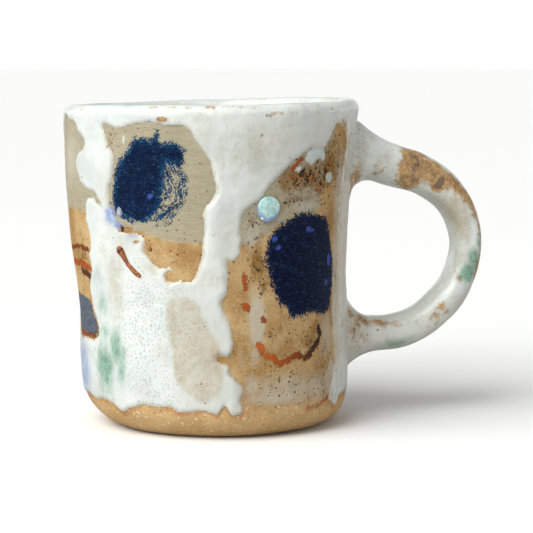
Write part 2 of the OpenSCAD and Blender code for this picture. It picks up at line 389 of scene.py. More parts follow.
BACK_LOW_WINDOW = [
    (64, 42), (60, 47), (55, 46), (50, 50), (43, 49), (38, 43), (39, 37), (34, 31), (36, 24), (41, 20.5),
    (45, 22), (50, 17.5), (57, 18), (63, 22), (61, 28), (67, 33),
]
WINDOWS = [LEFT_WINDOW, LEFT_CHIP, FAR_LEFT_WINDOW, RIGHT_WINDOW, BACK_WINDOW, BACK_LOW_WINDOW]

# %% [markdown]
# A few small puddles of glaze lie inside the windows, one of them turquoise. The lower edge of the
# glaze is a height that changes round the foot: it dips where a run came down and stops short
# elsewhere. A little noise on the distance gives every edge the tremble of a real pour.

# %% Puddles and the lower glaze line
TURQUOISE_PUDDLE = [
    (-60, 77.4), (-58.8, 79.7), (-55, 81), (-50, 80.4), (-48, 77.8), (-50, 76.6), (-52.8, 77.4),
    (-55.8, 75.8), (-58.4, 76.2),
]
ISLANDS = [
    [(-136.4, 82.6), (-135.6, 84.9), (-134.5, 84.3), (-134.9, 82.2)],
    [(-141, 63.2), (-139.5, 64.8), (-137.6, 63.6), (-138.2, 61.9), (-140.2, 61.8)],
    TURQUOISE_PUDDLE,
    [(-65, 74.6), (-62.8, 76.2), (-61, 75.4), (-62.5, 74.1)],
    [(-47.3, 72), (-46, 73.6), (-43, 73.7), (-41.7, 72.1), (-43, 70.5), (-46, 70.5)],
    [(-38, 72), (-35, 73.4), (-33.5, 72.4), (-36, 71.2)],
]
GLAZE_LINE = [
    (-180, 8.6), (-172, 9.6), (-163, 8.3), (-156, 9.2), (-149, 8.5), (-143, 6.4), (-137, 8), (-130, 9.3),
    (-118, 9), (-114.5, 7.9), (-105, 8.3), (-99, 7.2), (-96, 9.7), (-92.5, 6.9), (-90, 7.2), (-87, 8.6),
    (-78, 7.2), (-65, 7), (-52, 7.7), (-43, 8.6), (-38, 6.6), (-34, 9.4), (-18, 9.4), (-6, 7.8), (6, 9),
    (24, 8.2), (40, 9.6), (47, 6.7), (56, 8.8), (80, 8.2), (96, 9.5), (104, 6.9), (112, 9), (136, 8.4),
    (158, 9.4),
]


def glazed(theta, height):
    """Distance in mm into the glazed area, below 0 on bare clay."""
    into = height - round_curve(GLAZE_LINE, theta)
    for outline in WINDOWS:
        into = np.minimum(into, -inside(outline, theta, height))
    ragged = 0.45 * roughness_of(theta, height, 3.4, 3.0) + 0.3 * roughness_of(theta, height, 1.7, 9.0)
    into = into + ragged
    for outline in ISLANDS:
        into = np.maximum(into, inside(outline, theta, height) + 0.4 * ragged)
    return into


# %% [markdown]
# Next come the fields that the colours are read from. Cobalt is a coverage from 0 to about 1.2: a
# full brush gives over 1, and the dry side of a stroke less than 1, so the material can break it up
# into bristle marks. Iron strokes, green smears, blue washes and thin glaze are made the same way.

# %% Cobalt, iron, green and thin glaze
LEFT_SPOT = [
    (-142.5, 64), (-142, 69), (-140.3, 74.5), (-137, 78.5), (-133.8, 81), (-131.3, 83.6), (-128.5, 84),
    (-124, 83.8), (-121.2, 85), (-120.2, 86.4), (-119.5, 83.2), (-114, 82.8), (-110, 81), (-107.5, 78),
    (-106, 74), (-105.8, 70), (-107, 65.5), (-111, 61.5), (-117, 58.5), (-124, 57.8), (-129, 58.6),
    (-133, 61), (-138, 61.6),
]
LEFT_SPOT_DRY = [
    (-118.5, 78), (-112, 77.5), (-109, 79), (-103, 76), (-103, 60), (-112, 55), (-126, 56), (-132, 58.5),
    (-128, 61.5), (-123, 65), (-120.5, 70),
]
RIGHT_SPOT = [
    (-70, 60.3), (-65, 62), (-60, 62.9), (-54, 62.5), (-49, 61.8), (-45.5, 61), (-43, 58), (-40.5, 54),
    (-37.5, 49), (-37, 43), (-38.5, 38.5), (-41, 36), (-45, 33.8), (-50, 33.6), (-55, 34.4), (-60, 34.1),
    (-66, 34), (-68.5, 36.3), (-72.5, 38.7), (-75, 42), (-76.8, 46), (-78.2, 50), (-77.5, 54), (-75, 57.8),
]
SLATE_SPOT = [
    (-186, 39), (-176, 38.5), (-168, 38), (-162, 36.5), (-158.5, 32.5), (-156.3, 29.3), (-158, 27.5),
    (-168, 27), (-178, 27.5), (-188, 30), (-191, 35),
]
BACK_SPOT = [
    (120, 78), (114, 81.5), (107, 82), (100, 80), (95, 75), (93.5, 68), (95, 61), (100, 56.5), (107, 55),
    (113, 56), (119, 59.5), (122.5, 65), (123, 72),
]

# %% [markdown]
# Iron was drawn on with a fine brush: a thin stroke fires orange and a loaded one nearly black, so
# each stroke has a darkness at either end. Green and blue oxides were dabbed on. A dab is one soft
# patch, and a smear is a few dabs side by side, which is how a potter lays it down.

# %% Iron strokes, green smears and blue washes
IRON_STROKES = [       # points, half width, darkness at the start and at the end
    ([(-78.5, 23.6), (-75.5, 23.2), (-72, 20.9), (-67, 22.3), (-63, 23.2), (-59.5, 22), (-55.5, 24.2),
      (-52, 25.8), (-50, 28), (-51, 30)], 0.75, 0.0, 1.1),
    ([(-81, 26.6), (-80.2, 25.2)], 1.1, 0.1, 0.1), ([(-87, 37.8), (-86, 37)], 0.9, 0.2, 0.3),
    ([(-87.2, 46), (-86.5, 42.5)], 0.7, 0.25, 0.3), ([(-79, 34), (-78.6, 33.2)], 0.6, 0.4, 0.4),
    ([(-58, 22.2), (-54.5, 24.6), (-51.5, 26.4)], 0.9, 0.75, 1),
    ([(-184, 51), (-168, 52.4), (-160.5, 51.6)], 0.6, 0.5, 0.6),
    ([(-186, 47), (-170, 47.6), (-160, 46.3)], 0.85, 0.25, 0.3),
    ([(-168, 45.4), (-160, 43.8)], 0.8, 0.8, 0.8),
    ([(-186, 27), (-170, 26.8), (-159, 27.2)], 0.6, 0.4, 0.5),
    ([(-58, 7.4), (-50, 8.2), (-42, 10.6)], 0.55, 0.2, 0.3),
    ([(-65.8, 75.2), (-63.5, 77), (-61.5, 77.8)], 0.6, 0.2, 0.3),
    ([(95, 50), (101, 46.5), (108, 47.5), (115, 50), (121, 47)], 0.9, 0.1, 0.9),
    ([(44, 44), (50, 42), (57, 43.5)], 0.8, 0.2, 0.6), ([(-126.5, 53.6), (-125.4, 53.4)], 0.5, 0.5, 0.5),
    ([(-133, 55.2), (-130.8, 55)], 0.4, 0.6, 0.5), ([(-138.6, 59.4), (-138, 58.4)], 0.5, 0.9, 0.9),
]
GREEN_SMEARS = [
    (-151.5, 19, 4.8, 8, 1.15), (-144, 25, 3, 6.5, 1), (-141.5, 19, 2, 5, 0.8), (-150, 29, 3, 3.5, 0.6),
    (-151.5, 37, 3, 3.8, 0.75), (-156, 31, 2, 4, 0.4), (-153, 45, 3, 3, 0.4), (-153, 19.5, 3.2, 4.2, 0.9),
    (-151, 23, 4, 2.6, 0.7), (-154, 14.5, 1.6, 3, 0.55), (-140, 24, 1.3, 3.6, 0.8),
    (-140.6, 20, 1, 2.6, 0.6), (-145.5, 28, 2.8, 2.4, 0.45), (-151, 37, 2.6, 2.2, 0.3),
    (-157, 44, 3, 2.4, 0.4), (-164, 22, 4.5, 2.2, 0.5), (-159, 18, 3, 3, 0.35), (74, 30, 4, 6, 0.6),
    (140, 40, 3.5, 5, 0.4),
]
BLUE_WASHES = [
    (-177, 17, 9, 8, 1.2), (-144, 62, 2.4, 3.2, 1), (-140.5, 59.5, 1.8, 1.6, 0.9),
    (-134, 56.5, 3.6, 1.6, 0.55), (-143.5, 72, 1, 2.2, 0.4), (-143.5, 61.5, 2.2, 2.6, 0.75),
    (-141, 59.3, 1.2, 0.8, 0.8), (-147, 62.5, 1.4, 1.6, 0.4), (-131, 58.6, 3, 1.6, 0.4),
    (-139, 78.2, 1.6, 0.7, 0.5), (-141.5, 75.3, 0.7, 1.4, 0.5), (-124.5, 68, 1.3, 1, 0.9),
    (-74, 56, 1.3, 0.9, 1), (-72.5, 53.5, 1.2, 0.8, 1), (-56.5, 58, 1.6, 1.1, 0.9),
    (-54.5, 57.6, 0.9, 0.5, 0.9), (-42.5, 48.7, 1.1, 1.9, 1.3), (-44.5, 42.5, 1.2, 1.3, 0.9),
    (-59, 40, 0.9, 1.1, 0.5), (-142.5, 54, 1.4, 1.4, 0.3), (-57.5, 80.6, 0.7, 0.4, 1.2),
    (-60.8, 79.4, 0.5, 0.4, 1), (-123.5, 88.8, 0.4, 0.5, 1),
]

# %% [markdown]
# These places change how the glaze or the clay looks without a mark of their own: thin glaze that
# lets the clay through, speckle on bare clay, fine dots in the white, and a milky film. One thin
# patch high inside the back of the rim is painted shade, a beige tone where the inner wall lies in
# shade. Each is a list of soft patches again, so that one helper draws them all.

# %% Thin glaze, speckle, dots and film
THIN_GLAZE_AND_RIM_SHADE = [          # translucent glaze over the clay
    (-143, 42, 3.6, 11, 0.55), (-148, 51, 4, 8, 0.3), (-124.5, 48, 2.6, 2, 0.45), (-99, 45, 3, 3.2, 0.35),
    (-82, 33, 1.8, 5, 0.45), (-86, 15, 2.5, 5.5, 0.7), (-74, 15, 6, 7, 0.62), (-62, 14, 7, 5.5, 0.66),
    (-50, 18, 7, 8, 0.5), (-40, 28, 4, 6, 0.4), (-103, 89.5, 3, 1.6, 0.4), (-96, 14, 2.5, 3, 0.2),
    (-100, 26, 3.5, 2.5, 0.2), (-72, 88, 6.5, 2, 0.25), (-39, 31.5, 1.5, 1.8, 0.7), (-70, 9, 14, 2.4, 0.55),
    # (80, 101) is painted shade: a beige tone high inside the back of the rim, where the inner wall lies in
    # shade
    (80, 101, 60, 5, 0.75), (-60, 24, 10, 6, 1.2), (-46, 72, 4, 12, 0.6), (-41, 56, 4.5, 26, 1.05),
    (-36, 46, 3.2, 24, 0.9), (-44, 31, 5, 8, 1.1), (-30, 40, 3, 22, 0.5), (-88, 22, 3, 6, 0.9),
    (-23, 52, 9, 34, 0.74), (-86, 80, 13, 8, 0.42), (-80, 58, 1.2, 4, 0.6), (-132, 57.5, 3, 2, 0.7),
    (-60, 16, 17, 7.5, 1.1), (-81, 15, 5, 6.5, 0.95), (-42, 22, 7, 10, 0.95), (-47, 30, 4, 4, 0.95),
    (-82, 33, 2.4, 8, 0.75), (-34, 66, 2, 10, 0.7), (-34, 46, 1.8, 8, 0.6), (88, 30, 7, 12, 0.9),
    (30, 60, 4, 14, 0.7), (150, 60, 5, 14, 0.55), (60, 82, 10, 5, 0.6), (70, 62, 8, 9, 0.5),
    (20, 30, 6, 8, 0.4), (150, 22, 6, 6, 0.4), (-30, 80, 2, 5, 0.5),
]
SPECKLED = [          # brown, orange and black spots on bare clay
    (-109, 30, 6, 8, 0.4), (-142, 84, 2.4, 4, 0.55), (-119, 51, 6, 4, 0.35), (-60, 73, 12, 5, 1.15),
    (-45, 74, 6, 8, 1.1), (-37, 76, 3, 9, 0.9), (-74, 66, 4, 3, 0.8), (-44, 55, 3, 20, 0.6),
    (52, 32, 7, 8, 0.5), (104, 48, 8, 4, 0.6), (125, 70, 2, 8, 0.5), (-84, 60, 2.2, 5, 0.75),
    (-163, 54, 4, 4, 0.4), (-60, 72, 6.5, 4.5, 1), (-50, 70, 4.5, 5, 1), (-70, 71, 3, 2.4, 0.9),
    (-81.5, 50, 3, 9, 0.95), (-166, 48, 6, 5, 0.75), (-78, 62, 2, 2.6, 0.9), (-79, 42, 2, 3.6, 0.9),
    (-39, 70, 2.5, 4, 0.8), (-40, 81, 4, 4, 0.6), (-74, 30, 4, 3.5, 0.6), (-89, 33, 3, 8, 0.4),
    (108, 80, 5, 2.5, 0.7), (-175, 58, 5, 6, 0.3), (-56, 27, 7, 5, 0.75), (-45, 22, 6, 8, 0.6),
    (-68, 14, 14, 6, 0.6), (-50, 14, 8, 5, 0.65), (-134.5, 58.8, 2, 1.5, 0.9), (-66, 66, 7, 2.5, 0.9),
]
DOTTED = [          # fine grey-green dots in the white
    (-129.5, 31, 8.5, 14, 1.1), (-127, 16, 8, 8, 1), (-117, 42, 4, 4, 0.6), (-132, 48, 5, 5, 0.6),
    (-120, 11, 6, 3, 0.7), (-141, 16, 4, 6, 0.4), (60, 60, 10, 12, 0.7), (120, 24, 9, 9, 0.7),
]
BEIGE_WINDOW = [
    (-118, 39.5), (-112, 40.5), (-106, 39), (-104, 35), (-101, 31), (-97, 25), (-96, 19), (-98, 13.5),
    (-103, 11), (-109, 12), (-114, 15.5), (-117, 20), (-116.5, 25), (-118.5, 30), (-119, 35),
]
VEILED = [          # a milky film on the bare clay
    (-81.8, 33.5, 2.5, 8, 1.3), (-83, 24, 2.2, 4, 0.6), (-62, 13.5, 26, 5.5, 0.7), (-45, 28, 4, 8, 0.7),
    (-37, 46, 2.2, 18, 0.9), (-60, 64.8, 9, 1.9, 0.75), (-35, 66, 3.5, 14, 0.95), (-84, 57, 3, 5, 0.6),
    (-72, 12, 14, 3, 0.8), (-84, 15, 4, 4, 0.7), (-172, 78, 8, 9, 0.7), (-162, 80, 3, 4, 0.5),
    (-42, 15, 4, 6, 0.9), (-72, 61, 3, 3, 0.5), (-60, 77, 7, 1.6, 0.4), (-89, 24, 1.5, 5, 0.4),
    (-34, 72, 1.5, 10, 0.5), (-85, 57, 1.5, 6, 0.35), (-74, 26, 3, 3, 0.35), (-140, 81, 1.2, 4, 0.3),
    (-128, 53, 1.5, 2, 0.4), (-154, 66.5, 2, 1.2, 0.5),
]
TURQUOISE_DRIPS = [(-44.5, 72, 2, 1.6, 1), (-45, 64, 2.2, 2.2, 0.8), (-136, 57, 2, 1.2, 0.4)]
CREAM_LINE = [          # the cream dip covers the clay above this height
    (-180, 63), (-160, 62.5), (-148, 60), (-128, 58), (-124, 56.6), (-112, 55.3), (-104, 55.2), (-96, 55),
    (-84, 54.5), (-78, 57), (-72, 60), (-62, 62), (-52, 63), (-45, 80), (-38, 92), (-30, 92), (0, 92),
    (35, 72), (60, 60), (120, 60), (150, 63),
]

# %% [markdown]
# All the marks are now measured at every vertex of the skin's grid, once. The results are kept by
# name in `fields`, because the clay wall and the glaze coat share the grid and need the same values.

# %% The fields on the skin
def cobalt_cover(theta, height):
    """How well the cobalt covers: 1.2 where the brush was full, less where it ran dry."""
    def solid(outline, soft):
        return np.clip(0.5 + inside(outline, theta, height) / soft, 0, 1.3)
    dry = np.clip(0.5 + inside(LEFT_SPOT_DRY, theta, height) / 3.0, 0, 1)
    left = solid(LEFT_SPOT, 3.0) - 0.78 * dry
    faded = np.clip((turn_from(theta, -43) * DEGREE) / 8.0, 0, 0.7)
    right = solid(RIGHT_SPOT, 3.4) - faded
    right = np.maximum(right, 0.2 * np.clip(1 + inside(RIGHT_SPOT, theta, height) / 4.0, 0, 1))
    slate = 0.9 * solid(SLATE_SPOT, 2.0)
    back = solid(BACK_SPOT, 2.0) - 0.5 * np.clip(0.5 - turn_from(theta, 106) * DEGREE / 8.0, 0, 1)
    return np.max([left, right, slate, back], axis=0)


def iron_marks(theta, height):
    """Distance into the iron strokes, and how dark each is."""
    into, dark = np.full(theta.shape, -6.0), np.zeros(theta.shape)
    for points, half, start, end in IRON_STROKES:
        far, share = along_stroke(points, theta, height)
        dark = np.where(half - far > into, start + (end - start) * share, dark)
        into = np.maximum(into, half - far)
    return np.clip(into, -3, 3), dark


def paint_fields(theta, height):
    """Every field that the wall's materials read, by name."""
    iron, dark = iron_marks(theta, height)
    left_arc = np.hypot(turn_from(theta, -124.5) * DEGREE, height - 70.5)
    right_arc = np.hypot(turn_from(theta, -105) * DEGREE, height - 30)
    return {
        "stroke": np.where(np.asarray(theta) < -97, left_arc, right_arc),
        "glazed": np.clip(glazed(theta, height), -4, 8),
        "cream": np.clip(height - round_curve(CREAM_LINE, theta), -5, 5),
        "cobalt": cobalt_cover(theta, height),
        "right_spot": np.clip(0.5 + turn_from(theta, -92) / 10.0, 0, 1) * (np.asarray(theta) < 20),
        "slate": np.clip(0.5 + inside(SLATE_SPOT, theta, height) / 2.0, 0, 1),
        "iron": iron,
        "iron_dark": dark,
        "green": patches(GREEN_SMEARS, theta, height),
        "blue_wash": patches(BLUE_WASHES, theta, height),
        "thin": np.maximum(
            patches(THIN_GLAZE_AND_RIM_SHADE, theta, height),
            0.64 * np.clip(0.5 + inside(BEIGE_WINDOW, theta, height) / 1.6, 0, 1)),
        "veiled": patches(VEILED, theta, height),
        "speckled": patches(SPECKLED, theta, height),
        "dotted": patches(DOTTED, theta, height),
        "turquoise": 0.9 * np.clip(0.5 + inside(TURQUOISE_PUDDLE, theta, height) / 3.5, 0, 1)
        + patches(TURQUOISE_DRIPS, theta, height),
        "height": height / 100.0,
    }


theta_grid, height_grid = np.meshgrid(columns, skin_h)
fields = paint_fields(theta_grid.ravel(), height_grid.ravel())
fields = {name: values.reshape(theta_grid.shape) for name, values in fields.items()}
print("fields:", ", ".join(f"{k} {v.min():.2f}..{v.max():.2f}" for k, v in fields.items()))

# %% [markdown]
# Finishes come next, because every piece takes one. Small helpers keep the node trees readable:
# `add`, `mix` and `step` add one node each, and `grain` adds a noise read in millimetres from
# Object coordinates, so a pattern keeps its size on every piece and runs on across a join.

# %% Helpers for node trees
class Tree:
    """A node tree with short calls for the nodes that a glaze needs."""

    def __init__(self, tree):
        self.tree = tree
        self.place = None

    def node(self, kind, **settings):
        n = self.tree.nodes.new(kind)
        for key, value in settings.items():
            setattr(n, key, value)
        return n

    def put(self, socket, value):
        if isinstance(value, bpy.types.NodeSocket):
            self.tree.links.new(value, socket)
        elif hasattr(socket.default_value, "__len__") and not hasattr(value, "__len__"):
            socket.default_value = (value,) * len(socket.default_value)
        elif hasattr(value, "__len__") and len(value) == 3 and len(socket.default_value) == 4:
            socket.default_value = (*value, 1.0)
        else:
            socket.default_value = value

    def math(self, operation, a, b=0.0):
        n = self.node("ShaderNodeMath", operation=operation)
        self.put(n.inputs[0], a)
        self.put(n.inputs[1], b)
        return n.outputs[0]

    def add(self, a, b):
        return self.math("ADD", a, b)

    def times(self, a, b):
        return self.math("MULTIPLY", a, b)

    def most(self, a, b):
        return self.math("MAXIMUM", a, b)

    def least(self, a, b):
        return self.math("MINIMUM", a, b)

    def less(self, a, b):
        return self.math("SUBTRACT", a, b)

    def step(self, value, low, high, smooth=True):
        """0 below low, 1 above high, or the other way round where low is above high."""
        n = self.node("ShaderNodeMapRange", interpolation_type="SMOOTHSTEP" if smooth else "LINEAR")
        self.put(n.inputs["Value"], value)
        flip = low > high
        self.put(n.inputs["From Min"], min(low, high))
        self.put(n.inputs["From Max"], max(low, high))
        self.put(n.inputs["To Min"], 1.0 if flip else 0.0)
        self.put(n.inputs["To Max"], 0.0 if flip else 1.0)
        return n.outputs["Result"]

    def mix(self, share, a, b):
        n = self.node("ShaderNodeMix", data_type="RGBA")
        self.put(n.inputs[0], share)
        self.put(n.inputs[6], a)
        self.put(n.inputs[7], b)
        return n.outputs[2]

    def field(self, name):
        return self.node("ShaderNodeAttribute", attribute_type="GEOMETRY", attribute_name=name).outputs["Fac"]

    def object_place(self):
        if self.place is None:
            self.place = self.node("ShaderNodeTexCoord").outputs["Object"]
        return self.place

    def stretched(self, stretch, shift=(0, 0, 0)):
        """Object coordinates in mm, divided by a stretch along each axis."""
        n = self.node("ShaderNodeMapping")
        self.put(n.inputs["Vector"], self.object_place())
        n.inputs["Scale"].default_value = tuple(1 / (MM * s) for s in stretch)
        n.inputs["Location"].default_value = shift
        return n.outputs["Vector"]

    def grain(self, size, detail=2.0, rough=0.5, shift=0.0, stretch=(1, 1, 1), twist=0.0):
        """Noise from 0 to 1 with lumps of a size in mm."""
        n = self.node("ShaderNodeTexNoise")
        place = self.stretched([size * s for s in stretch], (shift, shift * 0.7, shift * 0.3))
        self.put(n.inputs["Vector"], place)
        n.inputs["Scale"].default_value = 1.0
        n.inputs["Detail"].default_value = detail
        n.inputs["Roughness"].default_value = rough
        n.inputs["Distortion"].default_value = twist
        return n.outputs["Fac"]

    def grains(self, size, shift=0.0):
        """Scattered grains about a size in mm apart: distance to the nearest in cells, and its own colour."""
        n = self.node("ShaderNodeTexVoronoi")
        self.put(n.inputs["Vector"], self.stretched((size,) * 3, (shift, shift, shift)))
        n.inputs["Scale"].default_value = 1.0
        split = self.node("ShaderNodeSeparateColor")
        self.put(split.inputs[0], n.outputs["Color"])
        return n.outputs["Distance"], split.outputs[0], split.outputs[1]

    def centred(self, noise_value, amount):
        """A noise from 0 to 1 turned to run from -amount / 2 to amount / 2."""
        return self.times(self.less(noise_value, 0.5), amount)

    def wobble(self, amount, *grain, **more):
        """A new grain, centred on 0."""
        return self.centred(self.grain(*grain, **more), amount)

    def mottled(self, low, high, *grain, **more):
        """Mask from low to high of a new grain."""
        return self.step(self.grain(*grain, **more), low, high)

    def ragged(self, field, low, high, amount, *grain, **more):
        """Mask from low to high of a stored field, with its edge broken up by noise."""
        return self.step(self.add(self.field(field), self.wobble(amount, *grain, **more)), low, high)

    def lay(self, under, mask, share, over):
        """Lays a colour over another where a mask is set, at a share of full cover."""
        return self.mix(self.times(mask, share), under, over)

    def dots(self, size, radius, share, shift=0.0):
        """Mask of round grains: a share of the cells holds one of a radius given in cells."""
        far, one, two = self.grains(size, shift)
        wide = self.times(self.step(two, -1.0, 1.0, smooth=False), radius)
        dot = self.step(self.less(wide, far), -0.02, 0.06)
        return self.times(dot, self.math("LESS_THAN", one, share))

    def ramp(self, value, stops):
        """Colours along a value: (place, colour) stops."""
        n = self.node("ShaderNodeValToRGB")
        band = n.color_ramp
        while len(band.elements) < len(stops):
            band.elements.new(0.5)
        for element, (place, colour) in zip(band.elements, stops):
            element.position = place
            element.color = (*colour, 1.0)
        self.put(n.inputs[0], value)
        return n.outputs[0]

# %% [markdown]
# A node group holds a pattern that more than one finish uses. Each material here is one Principled
# shader, because clay and milky glaze need no more than a colour, a roughness and a relief. The
# last helper wires all three.

# %% Groups and materials
def seen(red, green, blue):
    """A colour given on a screen scale, 0 to 255, turned to the linear one that shaders use."""
    shares = (c / 255 for c in (red, green, blue))
    return tuple(((c + 0.055) / 1.055) ** 2.4 if c > 10 / 255 else c / 12.92 for c in shares)


def new_group(name, inputs, outputs):
    """A node group with float or colour inputs; returns it, its tree and both ends' sockets."""
    group = bpy.data.node_groups.new(name, "ShaderNodeTree")
    for label, value in inputs:
        kind = "NodeSocketColor" if hasattr(value, "__len__") else "NodeSocketFloat"
        socket = group.interface.new_socket(name=label, in_out="INPUT", socket_type=kind)
        socket.default_value = (*value, 1.0) if hasattr(value, "__len__") else value
    for label, kind in outputs:
        group.interface.new_socket(name=label, in_out="OUTPUT", socket_type=kind)
    t = Tree(group)
    start, end = t.node("NodeGroupInput"), t.node("NodeGroupOutput")
    return group, t, start.outputs, end.inputs


def new_material(name, colour, roughness, **sockets):
    """A material with one Principled shader; returns it, its tree and the shader."""
    made = bpy.data.materials.new(name)
    made.use_nodes = True
    made.diffuse_color = (*colour, 1.0)
    t = Tree(made.node_tree)
    shader = next(n for n in t.tree.nodes if n.type == "BSDF_PRINCIPLED")
    shader.inputs["Base Color"].default_value = (*colour, 1.0)
    shader.inputs["Roughness"].default_value = roughness
    for key, value in sockets.items():
        shader.inputs[key.replace("_", " ")].default_value = value
    return made, t, shader


def dress(t, shader, colour, roughness, height, reach):
    """Wires a shader: its colour, its roughness, and a height in 0..1 as relief of a reach in mm."""
    t.put(shader.inputs["Base Color"], colour)
    t.put(shader.inputs["Roughness"], roughness)
    n = t.node("ShaderNodeBump")
    n.inputs["Strength"].default_value = 1.0
    n.inputs["Distance"].default_value = reach * MM
    t.put(n.inputs["Height"], height)
    t.put(shader.inputs["Normal"], n.outputs["Normal"])


# %% [markdown]
# Groggy clay is golden with pale, rust and dark grains of crushed fired clay, and pores where grains
# pulled out. The `groggy clay` group gives its colour and the height of its grain. It is used bare at
# the foot, and again below the thin glaze, so both show the same grains.

# %% Node group: groggy clay
clay_group, t, given, out = new_group(
    "groggy clay",
    [("Sand", 0.25), ("Gold", seen(201, 172, 124)), ("Dark", seen(166, 128, 78))],
    [("Color", "NodeSocketColor"), ("Height", "NodeSocketFloat"), ("Speck", "NodeSocketFloat")])
soft = t.grain(9.0, 4.0, 0.6)
fine = t.grain(0.5, 3.0, 0.7, 4.0)
colour = t.mix(t.step(soft, 0.35, 0.68), given["Dark"], given["Gold"])
colour = t.lay(colour, t.step(fine, 0.45, 0.7), 0.5, seen(216, 186, 140))
pale = t.times(t.dots(1.15, 0.46, 0.6, 1.0), given["Sand"])
pale = t.times(pale, t.mottled(0.32, 0.55, 2.4, 2.0, 0.5, 16.0))
rust = t.times(t.dots(1.3, 0.5, 0.65, 5.0), t.add(0.35, t.times(given["Sand"], 0.65)))
dark = t.dots(1.5, 0.24, 0.5, 8.0)
sand = t.times(t.dots(0.7, 0.46, 0.7, 12.0), given["Sand"])
colour = t.lay(colour, sand, 0.4, seen(232, 208, 166))
colour = t.lay(colour, rust, 0.65, seen(206, 138, 74))
colour = t.lay(colour, pale, 0.8, seen(238, 224, 194))
colour = t.lay(colour, dark, 0.75, seen(84, 60, 42))
fleck = t.times(t.dots(0.8, 0.32, 0.6, 15.0), t.mottled(0.62, 0.42, 4.0, 3.0, 0.6, 19.0))
colour = t.lay(colour, fleck, 0.55, seen(112, 74, 38))
t.put(out["Color"], colour)
height = t.add(t.times(fine, 0.35), t.times(t.grain(1.4, 2.0, 0.5, 2.0), 0.3))
height = t.add(height, t.add(t.times(pale, 0.22), t.times(sand, 0.1)))
t.put(out["Height"], t.less(height, t.times(dark, 0.3)))
t.put(out["Speck"], dark)

# %% [markdown]
# On the wall, the clay carries what was brushed on before the glaze: a cream dip, cobalt spots, iron
# strokes, green and blue smears. The `painted clay` group reads the fields stored on the mesh, and
# breaks each edge up with noise, so that it stays crisp and ragged close up. Cobalt covers where its
# coverage beats a streaky noise, which leaves bristle marks on the dry side of the brush.

# %% Node group: painted clay
paint_group, t, given, out = new_group("painted clay", [], [
    ("Color", "NodeSocketColor"), ("Height", "NodeSocketFloat"), ("Gloss", "NodeSocketFloat"),
    ("Cobalt", "NodeSocketFloat")])
clay = t.node("ShaderNodeGroup", node_tree=clay_group)
t.put(clay.inputs["Sand"], t.step(t.field("height"), 0.13, 0.06))
colour = clay.outputs["Color"]
brushed = t.grain(1.0, 4.0, 0.6, 2.0, stretch=(5.0, 5.0, 0.32), twist=0.3)
hair = t.node("ShaderNodeVectorMath", operation="ADD")
t.put(hair.inputs[0], t.stretched((4.5, 4.5, 4.5)))
across_hair = t.node("ShaderNodeCombineXYZ")
wavy = t.add(t.field("stroke"), t.times(t.grain(5.0, 2.0, 0.5, 18.0), 5.0))
t.put(across_hair.inputs[0], t.times(wavy, 1.5))
t.put(across_hair.inputs[1], t.times(wavy, -1.0))
t.put(hair.inputs[1], across_hair.outputs[0])
hair_noise = t.node("ShaderNodeTexNoise")
t.put(hair_noise.inputs["Vector"], hair.outputs[0])
hair_noise.inputs["Scale"].default_value = 1.0
hair_noise.inputs["Detail"].default_value = 4.0
hair_noise.inputs["Roughness"].default_value = 0.62
hairs = hair_noise.outputs["Fac"]
# cream dip with faint lines where the brush went round
edge = t.add(t.field("cream"), t.wobble(3.0, 3.0, 3.0, 0.6, 7.0))
cream = t.step(edge, -0.5, 0.7)
cream_tone = t.mix(t.step(brushed, 0.35, 0.65), seen(164, 161, 140), seen(180, 175, 154))
cream_tone = t.lay(cream_tone, t.mottled(0.45, 0.7, 0.45, 3.0, 0.65, 6.0), 0.4, seen(152, 142, 120))
cream_tone = t.lay(cream_tone, clay.outputs["Speck"], 0.7, seen(120, 96, 70))
cream_tone = t.lay(cream_tone, t.mottled(0.55, 0.75, 0.7, 2, 0.6, 3.0), 0.35, seen(144, 126, 102))
colour = t.lay(colour, cream, 0.86, cream_tone)
# brown, orange and black speckle
speckled = t.field("speckled")
brown_cloud = t.grain(2.6, 4.0, 0.65, 21.0, stretch=(1, 1, 1.8), twist=1.0)
brown_cloud = t.step(t.add(t.times(speckled, 0.42), brown_cloud), 0.66, 0.9)
colour = t.lay(colour, brown_cloud, 0.75, seen(136, 102, 54))
orange = t.step(t.add(t.times(speckled, 0.3), t.grain(2.2, 3.0, 0.6, 31.0, twist=1.5)), 0.80, 0.88)
colour = t.lay(colour, orange, 0.7, seen(176, 110, 46))
uneven = t.wobble(0.6, 2.4, 4.0, 0.65, 47.0, stretch=(1, 1, 1.5))
filmed = t.step(t.add(t.field("veiled"), uneven), 0.1, 0.9)
film_tone = t.mix(t.grain(5.0, 2.0, 0.5, 48.0), seen(214, 204, 188), seen(190, 192, 178))
colour = t.lay(colour, filmed, 0.68, film_tone)
black = t.step(t.add(t.times(speckled, 0.34), t.grain(1.1, 4.0, 0.65, 41.0, twist=0.6)), 0.84, 0.90)
colour = t.lay(colour, black, 0.92, seen(34, 28, 24))
peppered = t.step(t.add(speckled, t.wobble(1.2, 2.5, 3.0, 0.6, 44.0)), 0.1, 0.6)
pepper = t.times(t.dots(1.15, 0.36, 0.8, 43.0), peppered)
colour = t.lay(colour, pepper, 0.8, seen(62, 44, 28))

# %% [markdown]
# The cobalt was brushed in curved strokes, so its dry side shows rows of fine lines. Two noises are
# blended, one drawn out along the stroke and one in clumps, and the coverage is added before the cut.
# The colour goes from deep blue in the middle to teal where the brush ran out.

